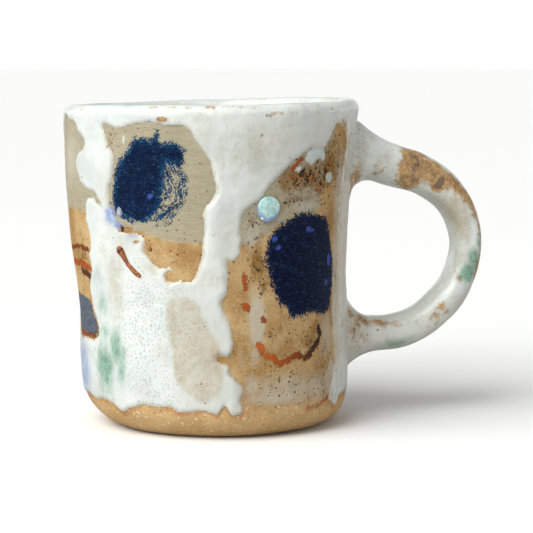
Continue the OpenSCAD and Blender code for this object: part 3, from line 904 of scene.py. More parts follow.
# %% Painted clay: the cobalt
hair_share = t.add(0.22, t.times(t.step(t.field("cobalt"), 0.85, 0.35), 0.38))
clumps = t.grain(1.3, 5.0, 0.72, 11.0, twist=1.8)
bristle = t.add(t.times(hairs, hair_share), t.times(clumps, t.less(1.0, hair_share)))
cover = t.add(t.field("cobalt"), t.centred(bristle, 2.8))
cover = t.add(cover, t.wobble(0.8, 0.45, 2.0, 0.6, 14.0))
cobalt = t.step(cover, 0.42, 0.62)
deep = t.step(cover, 0.55, 1.15)
blue = t.mix(deep, seen(14, 68, 106), seen(0, 18, 50))
night = t.mix(deep, seen(16, 34, 66), seen(2, 8, 38))
blue = t.mix(t.field("right_spot"), blue, night)
blue = t.lay(blue, t.mottled(0.5, 0.68, 3.4, 3.0, 0.6, 17.0), 0.7, seen(8, 14, 38))
woven = t.grain(0.55, 3.0, 0.65, 25.0, stretch=(1.6, 1.6, 0.7), twist=0.8)
blue = t.lay(blue, t.step(woven, 0.5, 0.68), 0.3, seen(26, 70, 116))
lint = t.grain(0.8, 4.0, 0.7, 27.0, stretch=(1.5, 1.5, 0.8), twist=1.4)
blue = t.lay(blue, t.step(lint, 0.57, 0.68), 0.6, seen(66, 108, 152))
blue = t.lay(blue, t.step(hairs, 0.58, 0.68), 0.22, seen(36, 78, 134))
slate_tone = t.mix(t.mottled(0.38, 0.64, 1.0, 4, 0.7, 3.0), seen(78, 88, 102), seen(112, 118, 126))
blue = t.lay(blue, t.field("slate"), 0.85, slate_tone)
colour = t.mix(cobalt, colour, blue)

# %% [markdown]
# Iron lies over the cobalt and runs from orange through brown to black along its stroke. Blue washes
# come last, paler on the clay than on the cobalt. The group then hands out its colour, its relief,
# its gloss and where the cobalt is.

# %% Painted clay: iron, washes and outputs
iron_edge = t.add(t.field("iron"), t.wobble(3.4, 1.3, 5.0, 0.72, 51.0))
iron = t.step(iron_edge, -0.12, 0.12)
iron_tone = t.ramp(t.add(t.field("iron_dark"), t.wobble(0.5, 0.9, 3, 0.6, 53.0)), [
    (0.0, seen(196, 96, 38)), (0.35, seen(160, 70, 28)), (0.65, seen(88, 46, 28)), (1.0, seen(28, 26, 36))])
colour = t.lay(colour, iron, 0.93, iron_tone)
# blue washes
wash = t.ragged("blue_wash", 0.35, 0.75, 0.9, 0.9, 3.0, 0.6, 61.0)
colour = t.lay(colour, wash, 0.75, t.mix(cobalt, seen(130, 148, 206), seen(66, 92, 180)))
t.put(out["Color"], colour)
t.put(out["Cobalt"], cobalt)
paint_high = t.add(t.times(cobalt, t.times(bristle, 0.5)), t.times(iron, 0.5))
clay_high = t.times(clay.outputs["Height"], t.less(1.0, t.times(t.most(cobalt, cream), 0.55)))
t.put(out["Height"], t.add(clay_high, paint_high))
t.put(out["Gloss"], t.most(t.most(t.times(cobalt, 0.55), t.times(cream, 0.25)), t.times(filmed, 0.7)))

# %% [markdown]
# The bare clay is dry and matt where it is gold, a little sealed where it is cream, and the cobalt
# melted enough to shine softly. On the wall, the lowest band is painted lighter: painted bounce
# light from the floor. The same material serves the wall, the underside and the roots.

# %% Material: clay wall
CLAY = seen(196, 164, 116)
clay_mat, t, shader = new_material("stoneware_clay_painted", CLAY, 0.75, Specular_IOR_Level=0.09)
painted = t.node("ShaderNodeGroup", node_tree=paint_group)
high = t.field("height")
foot = t.step(t.add(high, t.wobble(0.04, 5.0, 3, 0.6, 2.0)), 0.105, 0.06)
terracotta = t.ragged("glazed", -1.6, -0.3, 5.0, 6.0, 3, 0.6, 6.0)
# painted bounce light: below about 6 to 10 mm the clay is mixed 40% towards pale gold, so the foot looks lit
# from the floor
base = t.mix(t.times(foot, 0.4), painted.outputs["Color"], seen(242, 206, 150))
base = t.lay(base, t.times(terracotta, foot), 0.55, seen(186, 112, 70))
dress(t, shader, base, t.less(0.8, t.times(painted.outputs["Gloss"], 0.5)), painted.outputs["Height"], 0.35)

plain_clay_mat, t, shader = new_material("stoneware_clay_plain", CLAY, 0.8, Specular_IOR_Level=0.18)
clay = t.node("ShaderNodeGroup", node_tree=clay_group)
clay.inputs["Sand"].default_value = 1.0
height = clay.outputs["Height"]
dress(t, shader, clay.outputs["Color"], t.less(0.86, t.times(height, 0.2)), height, 0.35)
print("materials:", clay_mat.name, plain_clay_mat.name)

# %% [markdown]
# The glaze is milky white, not paint: where it lies thick it is opaque and a little cool, and where
# it ran thin the clay and its grains show through as beige. So its colour is the `painted clay`
# group seen through a share of white. Green and blue came from oxides that bled into it while it
# melted, and specks of iron broke through as small brown and grey dots.

# %% Material: white glaze
glaze_mat, t, shader = new_material("white_glaze_milky", seen(224, 226, 219), 0.3, Coat_Weight=0.4)
shader.inputs["Coat Roughness"].default_value = 0.08
shader.inputs["IOR"].default_value = 1.5
painted = t.node("ShaderNodeGroup", node_tree=paint_group)
cloud = t.grain(15.0, 3.0, 0.55, 71.0)
mottle = t.grain(2.6, 4.0, 0.62, 73.0, twist=0.8)
runs = t.grain(1.0, 3.0, 0.6, 75.0, stretch=(2.2, 2.2, 14.0))
into = t.field("glazed")
# the thin field also holds painted shade: a beige tone high inside the back of the rim
veil = t.add(t.field("thin"), t.centred(mottle, 0.75))
veil = t.add(veil, t.centred(runs, 0.6))
edge_thin = t.times(t.step(t.add(into, t.centred(mottle, 2.0)), 1.3, 0.0), t.most(0.7, t.field("thin")))
see_through = t.least(t.most(t.step(veil, 0.15, 0.8, smooth=False), edge_thin), 0.98)
white = t.mix(t.step(cloud, 0.4, 0.65), seen(228, 234, 230), seen(213, 219, 216))
white = t.lay(white, t.step(mottle, 0.55, 0.8), 0.5, seen(208, 202, 192))
warm = t.mottled(0.42, 0.62, 24.0, 2.0, 0.5, 77.0)
white = t.lay(white, warm, 0.55, t.mix(t.grain(9.0, 3, 0.6, 78.0), seen(220, 206, 196), seen(198, 214, 204)))
crystal = t.grain(0.6, 3.0, 0.7, 79.0)
white = t.lay(white, t.step(crystal, 0.52, 0.72), 0.3, seen(196, 196, 188))
film = t.add(0.08, t.times(t.step(t.field("thin"), 1.0, 0.7), 0.4))
film = t.add(film, t.times(t.step(t.add(into, t.centred(mottle, 3.0)), 0.2, 5.5), 0.34))
film_tone = t.mix(t.grain(7.0, 3, 0.6, 76.0), seen(208, 196, 178), seen(190, 198, 184))
beige = t.mix(film, painted.outputs["Color"], film_tone)
crumbs = t.times(t.mottled(0.51, 0.60, 0.8, 5.0, 0.72, 80.0, twist=0.6), see_through)
colour = t.mix(t.times(crumbs, 0.42), t.mix(see_through, white, beige), seen(166, 136, 102))

# %% [markdown]
# Oxides came through the white while it melted: fine grey-green dots, brown freckles, and broad
# brown where the glaze ran thin over an edge. A band of the broad brown inside the back of the rim
# is painted shade. Each is a mask with its own tone laid over the white, from the faintest to the
# strongest, so that the strong marks stay on top.

# %% White glaze: what broke through
dotted = t.field("dotted")
dots = t.times(t.dots(0.72, 0.44, 0.9, 81.0), t.step(t.add(dotted, t.centred(mottle, 0.6)), 0.1, 0.6))
colour = t.lay(colour, dots, 0.5, seen(140, 160, 150))
freckles = t.dots(3.4, 0.11, 0.45, 85.0)
colour = t.lay(colour, freckles, 0.8, seen(92, 66, 48))
specks = t.times(t.dots(1.35, 0.32, 0.7, 87.0), t.step(t.field("speckled"), 0.1, 0.7))
colour = t.lay(colour, specks, 0.75, seen(96, 68, 42))
# brown breaking through: on the handle, the lip and the ridge; inside the back of the rim the same brown is
# painted shade
rust_cloud = t.grain(2.8, 5.0, 0.68, 91.0, twist=0.3)
brown = t.step(t.add(t.field("brown"), t.centred(rust_cloud, 1.7)), 0.2, 0.68)
brown_tone = t.mix(t.mottled(0.3, 0.7, 1.6, 4.0, 0.7, 93.0), seen(122, 80, 26), seen(202, 156, 84))
burnt = t.step(t.add(t.times(t.field("brown"), 0.24), t.grain(3.4, 4.0, 0.65, 96.0)), 0.80, 0.95)
brown_tone = t.lay(brown_tone, burnt, 0.85, seen(86, 54, 22))
brown_tone = t.lay(brown_tone, t.dots(1.1, 0.34, 0.6, 95.0), 0.45, seen(84, 60, 30))
colour = t.lay(colour, brown, 0.92, brown_tone)
# green smears and blue washes bled into the melt
green = t.ragged("green", 0.1, 1.15, 1.3, 2.4, 5.0, 0.7, 97.0, stretch=(1, 1, 1.8))
green_tone = t.mix(t.mottled(0.35, 0.65, 1.4, 4.0, 0.68, 98.0), seen(78, 134, 108), seen(128, 176, 150))
green = t.times(green, t.less(1.0, t.times(burnt, brown)))
colour = t.lay(colour, green, 0.88, green_tone)
blue = t.ragged("blue_wash", 0.15, 1.0, 0.8, 2.0, 4.0, 0.6, 99.0)
blue_tone = t.mix(t.mottled(0.4, 0.6, 3.0, 3.0, 0.6, 100.0), seen(98, 134, 200), seen(152, 178, 218))
colour = t.lay(colour, blue, 0.72, blue_tone)
pale = t.ragged("turquoise", 0.3, 1.1, 0.7, 1.5, 4.0, 0.6, 101.0)
colour = t.lay(colour, pale, 0.75, seen(184, 214, 214))
# oxide of a spot that bled up through a thin place
bled = t.times(painted.outputs["Cobalt"], t.times(see_through, 0.8))
colour = t.mix(bled, colour, seen(60, 92, 140))
pits = t.dots(2.4, 0.1, 0.5, 103.0)
peel = t.add(t.times(t.grain(3.2, 2.0, 0.5, 105.0), 0.6), t.times(t.grain(0.8, 2.0, 0.5, 107.0), 0.12))
below = t.times(t.times(painted.outputs["Height"], see_through), 0.5)
relief = t.less(t.add(peel, below), t.times(pits, 0.5))
dress(t, shader, colour, t.add(0.24, t.times(mottle, 0.22)), relief, 0.3)
print("material:", glaze_mat.name)

# %% [markdown]
# The clay wall is rolled first. Its profile is a closed loop: up the outside, over the lip, down the
# inside in long steps and back under to the foot, so the rolled slab is solid. It carries all the
# fields, because the windows in the glaze show it.

# %% Piece: the clay wall
def close_profile(r, z, h):
    """Adds coarse rows down the inside and under the wall, back to the first row."""
    down = np.linspace(z[-1], FLOOR_TOP - 2.0, 15)[1:]
    inner_r = wall_r(down) - WALL
    under = np.array([[inner_r[-1] - 2.0, 1.2], [r[0], 1.2]])
    r = np.concatenate([r, inner_r, under[:, 0], r[:1]])
    z = np.concatenate([z, down, under[:, 1], z[:1]])
    h = np.concatenate([h, h[-1] + np.arange(1, len(down) + 3), [h[0]]])
    return r, z, h


def finger_marks(theta, height):
    """Relief in mm left by fingers and a rib: shallow facets, and grain of the grog."""
    broad = roughness_of(theta, height, 11.0, 21.0)
    fine = roughness_of(theta, height, 2.4, 31.0)
    return 0.16 * broad + 0.05 * fine


wall_line_r, wall_line_z, wall_line_h = close_profile(skin_r, skin_z, skin_h)
wall_theta, wall_height = np.meshgrid(columns, wall_line_h)
marks = finger_marks(wall_theta.ravel(), wall_height.ravel()).reshape(wall_theta.shape)
marks[len(skin_r):] = 0
marks *= np.clip(wall_line_z / 1.5, 0, 1)[:, None]
marks[:, -1] = marks[:, 0]
wall_points = stand(wall_theta, spread(wall_line_r, wall_theta), spread(wall_line_z, wall_theta))
out_x = np.cos(np.radians(wall_theta))
out_y = np.sin(np.radians(wall_theta))
normal_r = np.zeros(len(wall_line_r))
normal_z = np.zeros(len(wall_line_r))
normal_r[: len(skin_r)], normal_z[: len(skin_r)] = skin_nr, skin_nz
outward = np.stack([normal_r[:, None] * out_x, normal_r[:, None] * out_y, spread(normal_z, out_x)], axis=-1)
wall_points += outward * marks[..., None]
wrap = np.stack([wall_theta * DEGREE, wall_height], axis=-1)
clay_wall, row, col = rolled_slab("clay_wall", wall_points, wrap)
for name, values in fields.items():
    tall = np.concatenate([values, np.repeat(values[-1:], len(wall_line_r) - len(skin_r), axis=0)])
    add_values(clay_wall, name, tall[row, col])
finish_piece(clay_wall, clay_mat)

# %% [markdown]
# The glaze coat is a second skin on the same grid. Its thickness follows the distance into the
# glazed area: it rises quickly from the clay in a rounded edge, has a slight bead there, and is
# thicker where it ran down in columns. In the windows it sinks under the clay, and the faces that
# are fully under are deleted. The contact line is then where two real surfaces meet.

# %% Piece: the outer glaze coat
RUNS = [          # angle, top, bottom, half width in degrees, extra thickness in mm
    (-134, 57, 6.6, 5, 0.28), (-120, 46, 8, 4, 0.18), (-97, 84, 9, 4.2, 0.3), (-92.5, 30, 7, 2.2, 0.3),
    (-150, 62, 9, 4, 0.2), (-144, 60, 6.4, 2.2, 0.26), (-84, 90, 66, 6, 0.25), (-100, 80, 48, 3, 0.25),
    (-33, 78, 6.5, 2.4, 0.22), (-50, 90, 82, 5, 0.2), (47, 50, 6.7, 3, 0.3), (104, 42, 7, 3.4, 0.3),
    (80, 88, 9, 5, 0.2), (140, 80, 8, 5, 0.22), (15, 60, 8, 4, 0.2),
]


def glaze_depth(theta, height, into):
    """Thickness in mm of the glaze over the clay."""
    rise = np.clip(into / 1.6, 0, 1)
    depth = GLAZE * (1 - (1 - rise) ** 2.0) + 0.05 * np.exp(-((into - 1.2) / 0.8) ** 2)
    for angle, top, bottom, wide, extra in RUNS:
        across = np.exp(-(turn_from(theta, angle) / wide) ** 2)
        along = np.clip((top - height) / 8.0, 0, 1) * np.clip((height - bottom + 1.5) / 2.5, 0, 1)
        depth = depth + extra * across * along * rise
    lumps = roughness_of(theta, height, 6.0, 41.0) * 0.1 + roughness_of(theta, height, 2.0, 47.0) * 0.05
    depth = depth * (1 - 1.2 * np.clip(patches(THIN_GLAZE_AND_RIM_SHADE, theta, height) - 0.3, 0, 0.7))
    return np.where(into > 0, np.maximum(depth + lumps * rise, 0.03), np.maximum(0.9 * into, -0.3))


SUNK = -0.24                                 # mm under the clay where the coat ends
first_row = int(np.argmax(skin_h > 4.0))
coat_theta, coat_height = theta_grid[first_row:], height_grid[first_row:]
coat_into = fields["glazed"][first_row:]
depth = glaze_depth(coat_theta.ravel(), coat_height.ravel(), coat_into.ravel()).reshape(coat_into.shape)
depth[:, -1] = depth[:, 0]
coat_points = wall_points[first_row: len(skin_r)] + outward[first_row: len(skin_r)] * depth[..., None]
outer_glaze, row, col = rolled_slab("outer_glaze_coat", coat_points, wrap[first_row: len(skin_r)])
BROWN_AND_RIM_SHADE = [
    (-118.3, 89.3, 1.9, 0.9, 1), (-134.6, 58.8, 1.7, 1.8, 1), (-131.2, 55.2, 1.3, 0.6, 0.9),
    (-137.6, 60.6, 1, 1.2, 0.9), (-36, 84, 3, 5, 0.8), (-41, 80, 2.6, 5, 0.75), (-30, 70, 1.4, 9, 0.5),
    # (70, 99) is painted shade: a brown band inside the back of the rim, where the inner wall lies in shade
    (-22, 60, 1.6, 12, 0.35), (-26, 82, 2.5, 6, 0.4), (70, 99, 50, 1.2, 0.45), (-100, 92.3, 26, 0.8, 0.36),
    (-165, 92, 10, 1, 0.4), (-143, 84, 1.6, 4, 0.35), (-72, 90.3, 9, 0.7, 0.42), (-40, 82, 4.2, 5, 0.5),
    (-35, 76, 2.6, 5, 0.5), (-144, 86.5, 1.6, 1.6, 0.3), (-118, 89.6, 2.6, 0.8, 0.42),
    (-36, 62, 1.2, 6, 0.35), (-30, 30, 2, 4, 0.3), (-37, 20, 3, 6, 0.22), (-60, 95.5, 40, 1.3, 0.18),
    (-150, 95.5, 30, 1.2, 0.18), (30, 70, 3, 8, 0.3), (90, 86, 6, 1, 0.35), (-80, 84.7, 0.5, 0.5, 0.7),
    (-46, 91, 0.4, 0.4, 0.9),
]
for name, values in fields.items():
    add_values(outer_glaze, name, values[first_row:][row, col])
add_values(outer_glaze, "brown", patches(BROWN_AND_RIM_SHADE, coat_theta, coat_height)[row, col])
delete_vertices(outer_glaze, (depth < SUNK)[row, col])
finish_piece(outer_glaze, glaze_mat)

# %% [markdown]
# The liner glaze carries on from the lip's inside down to the floor and closes at the middle. It
# is a plain coat, so its grid is coarser, and its inner corner is round, as glaze pools there.

# %% Piece: the liner glaze
def liner_profile():
    """Points (r, z) down the inside, round the inner corner and in to the middle of the floor."""
    corner = 7.0
    bottom = FLOOR_TOP + GLAZE
    low_r = float(wall_r(FLOOR_TOP + corner)) - WALL - GLAZE
    z = np.linspace(skin_z[-1], bottom + corner, 36)
    face = np.stack([wall_r(z) - WALL - GLAZE, z], axis=1)
    a = np.radians(np.linspace(0, -90, 14))[1:]
    bend = np.stack([low_r - corner + corner * np.cos(a), bottom + corner + corner * np.sin(a)], axis=1)
    r = np.linspace(low_r - corner, 0, 22)[1:]
    flat = np.stack([r, np.full(len(r), bottom)], axis=1)
    return np.concatenate([face, bend, flat])


liner_columns = np.linspace(-195, 165, 181)
line = liner_profile()
liner_theta, liner_row = np.meshgrid(liner_columns, np.arange(len(line)))
liner_r, liner_z = line[liner_row, 0], line[liner_row, 1]
ripple = finger_marks(liner_theta.ravel(), (200 + liner_z + liner_r).ravel()).reshape(liner_z.shape)
spin_ring = 0.15 * np.sin(liner_r / 2.2) * np.clip(liner_r / 8, 0, 1) * (liner_row > 48)
ripple *= np.clip(liner_r / 15, 0, 1) * np.clip((skin_z[-1] - liner_z) / 4, 0, 1)
ripple[:, -1] = ripple[:, 0]
liner_points = stand(liner_theta, liner_r, liner_z + spin_ring)
liner_points[..., 0] += ripple * np.cos(np.radians(liner_theta))
liner_points[..., 1] += ripple * np.sin(np.radians(liner_theta))
liner, row, col = rolled_slab("liner_glaze_coat", liner_points[::-1])
row = len(line) - 1 - row
PLAIN_GLAZE = {"glazed": 8.0, "cream": 5.0, "iron": -3.0, "cobalt": -2.0}      # well glazed, nothing painted
for name, value in PLAIN_GLAZE.items():
    add_values(liner, name, np.full(len(row), value))
inner_thin_and_rim_shade = [
    # (120, 86) and (60, 84) are painted shade: a beige tone high on the liner at the back, where the inside
    # lies in shade
    (170, 60, 5, 9, 0.3), (40, 30, 8, 6, 0.35), (-60, 14, 12, 5, 0.4), (120, 86, 40, 5, 0.55),
    (60, 84, 20, 6, 0.5),
]
add_values(liner, "thin", patches(inner_thin_and_rim_shade, liner_theta, liner_z)[row, col])
finish_piece(liner, glaze_mat, gap=0.02)

# the liner is an open bowl, so its faces are turned to look at the drink
middle = min(liner.data.polygons, key=lambda f: f.center.xy.length + abs(f.center.z - FLOOR_TOP * MM))
if middle.normal.z < 0:
    bpy.ops.object.mode_set(mode="EDIT")
    bpy.ops.mesh.select_all(action="SELECT")
    bpy.ops.mesh.flip_normals()
    bpy.ops.object.mode_set(mode="OBJECT")
print("the liner's middle faces up:", middle.normal.z > 0)

# %% [markdown]
# The floor slab is a thick disc that the wall was wrapped round. Only its underside shows. It starts
# as a cylinder, and its underside is inset into rings so that it can dish a little.

# %% Piece: the clay floor
deselect_all()
floor_radius = float(skin_r[0]) + 0.6
bpy.ops.mesh.primitive_cylinder_add(
    vertices=192, radius=floor_radius * MM, depth=(FLOOR_TOP - 0.2) * MM, location=(0, 0, FLOOR_TOP / 2 * MM))
clay_floor = bpy.context.object
clay_floor.name = clay_floor.data.name = "clay_floor"
bpy.ops.object.transform_apply(location=True, rotation=True, scale=True)
bpy.ops.object.mode_set(mode="EDIT")
bpy.ops.mesh.select_mode(type="FACE")
bpy.ops.mesh.select_all(action="DESELECT")
bpy.ops.object.mode_set(mode="OBJECT")
for face in clay_floor.data.polygons:
    face.select = face.normal.z < -0.9
bpy.ops.object.mode_set(mode="EDIT")
for _ in range(12):
    bpy.ops.mesh.inset(thickness=2.2 * MM, depth=0)
bpy.ops.mesh.poke()
bpy.ops.mesh.select_all(action="SELECT")
bpy.ops.mesh.normals_make_consistent(inside=False)
bpy.ops.object.mode_set(mode="OBJECT")
co = get_points(clay_floor.data) / MM
reach = np.hypot(co[:, 0], co[:, 1])
under = co[:, 2] < 1.0
dish = 0.55 * np.clip((floor_radius - 0.6 - reach) / 9.0, 0, 1) ** 0.7
rubbed = 0.05 * np.array([noise.noise(Vector((x / 5, y / 5, 3.0))) for x, y in co[:, :2]])
co[under, 2] = 0.06 + (dish + rubbed)[under]
co[:, 0] += FOOT_SHIFT
set_points(clay_floor.data, co)
clay_floor.data.materials.append(plain_clay_mat)
bpy.ops.object.shade_smooth_by_angle(angle=math.radians(40))
print("clay floor triangles:", sum(len(f.vertices) - 2 for f in clay_floor.data.polygons))

# %% [markdown]
# The handle is a pulled strap, bent into a loop and pressed on at both ends with a coil of soft clay
# round each root. A section is swept along the loop: up from the lower root, round a circle, and
# in along the sloping upper arm. Near the wall the section grows in a quarter-circle, which is the
# smoothed coil, and its last ring is laid on the wall's own curve.

# %% The handle's path
LOOP_X, LOOP_Z, LOOP_RADIUS = 49.28, 49.6, 25.6
ARM_SLOPE = math.radians(19.0)
HALF_THICK, HALF_WIDE = 5.35, 7.0            # strap with its glaze: across the loop, and along Y
FLARE_REACH = 13.0


def handle_path(step=0.5):
    """Points (x, z) from the lower root to the upper root, and tangents."""
    x = np.arange(36.0, LOOP_X, step)
    low = np.stack([x, np.full(len(x), LOOP_Z - LOOP_RADIUS)], axis=1)
    end_turn = math.pi / 2 - ARM_SLOPE
    count = int(LOOP_RADIUS * (end_turn + math.pi / 2) / step)
    a = np.linspace(-math.pi / 2, end_turn, count)
    turn, wider = [-90, -45, -15, 0, 25, 45, 71], [0.2, 0.5, 2.0, 2.6, 1.9, 0.3, -1.5]
    radius = LOOP_RADIUS + np.interp(np.degrees(a), turn, wider)
    loop = np.stack([LOOP_X + radius * np.cos(a), LOOP_Z + radius * np.sin(a)], axis=1)
    s = np.arange(step, 24.0, step)
    arm = loop[-1] + np.stack([-s * math.cos(ARM_SLOPE), s * math.sin(ARM_SLOPE)], axis=1)
    line = np.concatenate([low, loop, arm])
    for _ in range(30):                                      # ease the corners out of the path
        line[1:-1] = 0.5 * line[1:-1] + 0.25 * (line[2:] + line[:-2])
    along = np.gradient(line, axis=0)
    along /= np.linalg.norm(along, axis=1, keepdims=True)
    return line, along

# %% [markdown]
# The strap's section is a rounded box. One sweep makes the glaze coat, the bare strap and the roots,
# with another inset each time, so the skins lie neatly inside one another. A wobble along the strap
# and shallow grooves are what a wet hand leaves when it pulls a handle.

# %% Sweeping the handle
def sweep_handle(name, inset, flare=True, around=72):
    """The handle's skin, sunk by an inset in mm; without the flare it is the bare strap."""
    line, along = handle_path()
    wall_here = wall_r(line[:, 1])
    keep = line[:, 0] > wall_here - 1.2
    line, along, wall_here = line[keep], along[keep], wall_here[keep]
    off_wall = np.maximum(line[:, 0] - wall_here, 0)
    share = np.linspace(0, 1, len(line))
    wide = np.interp(share, [0, 0.2, 0.45, 0.75, 1], [1.04, 1.0, 0.97, 1.03, 1.05])
    stops, sizes = [0, 0.12, 0.3, 0.44, 0.56, 0.68, 0.8, 1], [1.02, 0.93, 0.88, 0.78, 0.82, 1.0, 1.12, 1.16]
    thick = np.interp(share, stops, sizes)
    thick = np.convolve(np.pad(thick, 12, mode="edge"), np.ones(25) / 25, mode="valid")
    phi = np.linspace(0, 2 * math.pi, around + 1)
    power = 2 / 2.5                                          # a rounded box section
    cx = np.sign(np.cos(phi)) * np.abs(np.cos(phi)) ** power
    cy = np.sign(np.sin(phi)) * np.abs(np.sin(phi)) ** power
    upper = np.arange(len(line)) > len(line) / 2
    u = cx[None, :] * (HALF_THICK * thick - inset)[:, None]
    v = cy[None, :] * (HALF_WIDE * wide - inset)[:, None]
    side = np.stack([along[:, 1], -along[:, 0]], axis=1)      # away from the loop's middle
    x = line[:, 0, None] + side[:, 0, None] * u
    z = line[:, 1, None] + side[:, 1, None] * u
    y = v + 0 * x
    # the coil: near the wall the section spreads along the wall in a quarter-circle
    to_wall = x - np.sqrt(np.maximum(wall_r(z) ** 2 - y ** 2, 0))
    outer = cx[None, :] > 0
    reach = np.where(outer, 13.0, 9.0)
    near = np.clip(1 - to_wall / reach, 0, 0.999) if flare else 0 * to_wall
    grow = 1 - np.sqrt(1 - near ** 2)
    tall = np.where(outer, np.where(upper, 6.6, 6.4)[:, None], np.where(upper, 10.0, 11.5)[:, None])
    z = z + np.sign(side[:, 1, None]) * cx * tall * grow
    y = y + cy * np.where(upper, 4.6, 4.2)[:, None] * grow
    near = np.clip(1 - off_wall / 6.0, 0, 1) if flare else np.zeros(len(line))
    reach_in = np.sqrt(np.maximum((wall_r(z) + GLAZE) ** 2 - y ** 2, 0)) - 0.55 - inset
    pull = near ** 10
    x = x * (1 - pull[:, None]) + reach_in * pull[:, None]
    # hand-pulled: lengthwise grooves and a slow wobble
    s = share[:, None] * 40
    pulled = 0.10 * np.sin(phi * 9 + s * 0.3)
    round_it = [(6 * math.cos(p), 6 * math.sin(p)) for p in phi[:-1] / 4]
    broad = np.array([[noise.noise(Vector((*spot, q / 3.0))) for spot in round_it] for q in s[:, 0]])
    broad = np.concatenate([broad, broad[:, :1]], axis=1)
    bump = (0.28 * broad + pulled * 0.4) * (1 - pull[:, None])
    x += bump * side[:, 0, None] * cx
    z += bump * side[:, 1, None] * cx
    y += bump * cy
    theta, r = np.degrees(np.arctan2(y, x)), np.hypot(x, y)
    points = stand(theta, r, z)
    share, phi, off_wall = spread(share, x), phi[None, :] + 0 * x, spread(off_wall, x)
    obj, row, col = rolled_slab(name, points, np.stack([share * 120, phi * 7], axis=-1))
    return obj, row, col, share, phi, off_wall


# %% [markdown]
# The loop is glazed white, and then brushed with iron on top of the shoulder and along the outside,
# with green at the lower outside and under the lower root. The two soft patches are laid out along
# the handle and round its section.

# %% Piece: the handle's glaze
handle_glaze, row, col, share, phi, off_wall = sweep_handle("handle_glaze_coat", 0.0)


def handle_patches(spots):
    """Patches (share along, angle round in degrees, half lengths, strength)."""
    out = np.zeros(share.shape)
    for along, round_at, long, wide, strength in spots:
        turn = (np.degrees(phi) - round_at + 180) % 360 - 180
        out = np.maximum(out, strength * np.exp(-((share - along) / long) ** 2 - (turn / wide) ** 2))
    return out


# round the section: 0 is the outside of the loop, 180 the inside, 270 the side that faces the camera
handle_brown = handle_patches([
    (0.805, 285, 0.042, 80, 1.35), (0.745, 292, 0.045, 36, 1.3), (0.68, 298, 0.06, 27, 1),
    (0.61, 312, 0.06, 30, 0.9), (0.55, 325, 0.04, 28, 1), (0.50, 335, 0.035, 26, 1.3),
    (0.465, 328, 0.03, 26, 2.4), (0.715, 272, 0.02, 24, 1.9), (0.97, 215, 0.03, 40, 0.9),
    (0.90, 250, 0.03, 40, 0.35), (0.09, 228, 0.10, 20, 0.75), (0.04, 240, 0.04, 60, 0.45),
    (0.30, 265, 0.06, 22, 0.5), (0.42, 250, 0.02, 20, 0.5), (0.80, 60, 0.09, 50, 0.8),
    (0.35, 80, 0.08, 30, 0.5),
])
handle_green = handle_patches([
    (0.48, 284, 0.032, 22, 1.2), (0.44, 274, 0.03, 26, 1.4), (0.52, 300, 0.02, 20, 0.8),
    (0.15, 300, 0.05, 30, 0.75), (0.71, 338, 0.06, 24, 0.5), (0.12, 20, 0.06, 40, 0.7),
    (0.66, 5, 0.05, 30, 0.5), (0.40, 40, 0.05, 40, 0.5),
])
handle_thin = handle_patches([
    (0.61, 240, 0.11, 45, 0.95), (0.48, 235, 0.08, 40, 0.6), (0.35, 200, 0.15, 60, 0.35),
    (0.88, 270, 0.06, 60, 0.35), (0.97, 270, 0.05, 90, 0.45), (0.03, 270, 0.05, 90, 0.5),
])
for name, value in PLAIN_GLAZE.items():
    add_values(handle_glaze, name, np.full(len(row), value))
for name, values in (
    ("thin", handle_thin), ("brown", handle_brown), ("green", handle_green),
    ("speckled", 0.6 * np.clip(handle_brown, 0, 1)), ("height", np.full(share.shape, 0.6)),
):
    add_values(handle_glaze, name, values[row, col])
finish_piece(handle_glaze, glaze_mat)

# %% [markdown]
# Under the glaze are the strap itself and the two roots, made by the same sweep with an inset, so
# that the handle is solid clay with a coat on it and each real piece has its own mesh.

# %% Pieces: the clay of the handle
strap_clay, row, col, *_ = sweep_handle("handle_strap_clay", 0.5, flare=False, around=36)
finish_piece(strap_clay, plain_clay_mat)
roots = []
for name, upper in (("upper_root_clay", True), ("lower_root_clay", False)):
    root, row, col, share, phi, off_wall = sweep_handle(name, 0.62, around=36)
    gone = (off_wall > FLARE_REACH) | ((share < 0.5) if upper else (share > 0.5))
    delete_vertices(root, gone[row, col])
    bpy.ops.object.mode_set(mode="EDIT")
    bpy.ops.mesh.select_all(action="SELECT")
    bpy.ops.mesh.remove_doubles(threshold=0.002 * MM)
    bpy.ops.mesh.select_all(action="DESELECT")
    bpy.ops.mesh.select_non_manifold()
    bpy.ops.mesh.edge_face_add()
    bpy.ops.mesh.select_all(action="SELECT")
    bpy.ops.mesh.normals_make_consistent(inside=False)
    bpy.ops.object.mode_set(mode="OBJECT")
    bpy.ops.object.shade_smooth()
    root.data.materials.append(plain_clay_mat)
    roots.append(root)
    print(name, "faces:", len(root.data.polygons))
upper_root, lower_root = roots

# %% [markdown]
# A thick drop of turquoise glaze stands on the wall above the right spot, and a slip trail was
# squeezed across the left window. Each starts as a sphere and is laid on the wall: the drop is
# flattened into a low dome with an uneven rim, and the trail is drawn out along its stroke.

# %% Pieces: glaze drop and slip trail
def on_wall(theta, height, proud):
    """Points on the wall, standing proud of the clay by some mm."""
    return stand(theta, wall_r(height) + proud, height)


def new_sphere(name, segments, rings):
    """A sphere of radius 1, and its vertices."""
    deselect_all()
    bpy.ops.mesh.primitive_uv_sphere_add(segments=segments, ring_count=rings, radius=1)
    obj = bpy.context.object
    obj.name = obj.data.name = name
    return obj, get_points(obj.data)


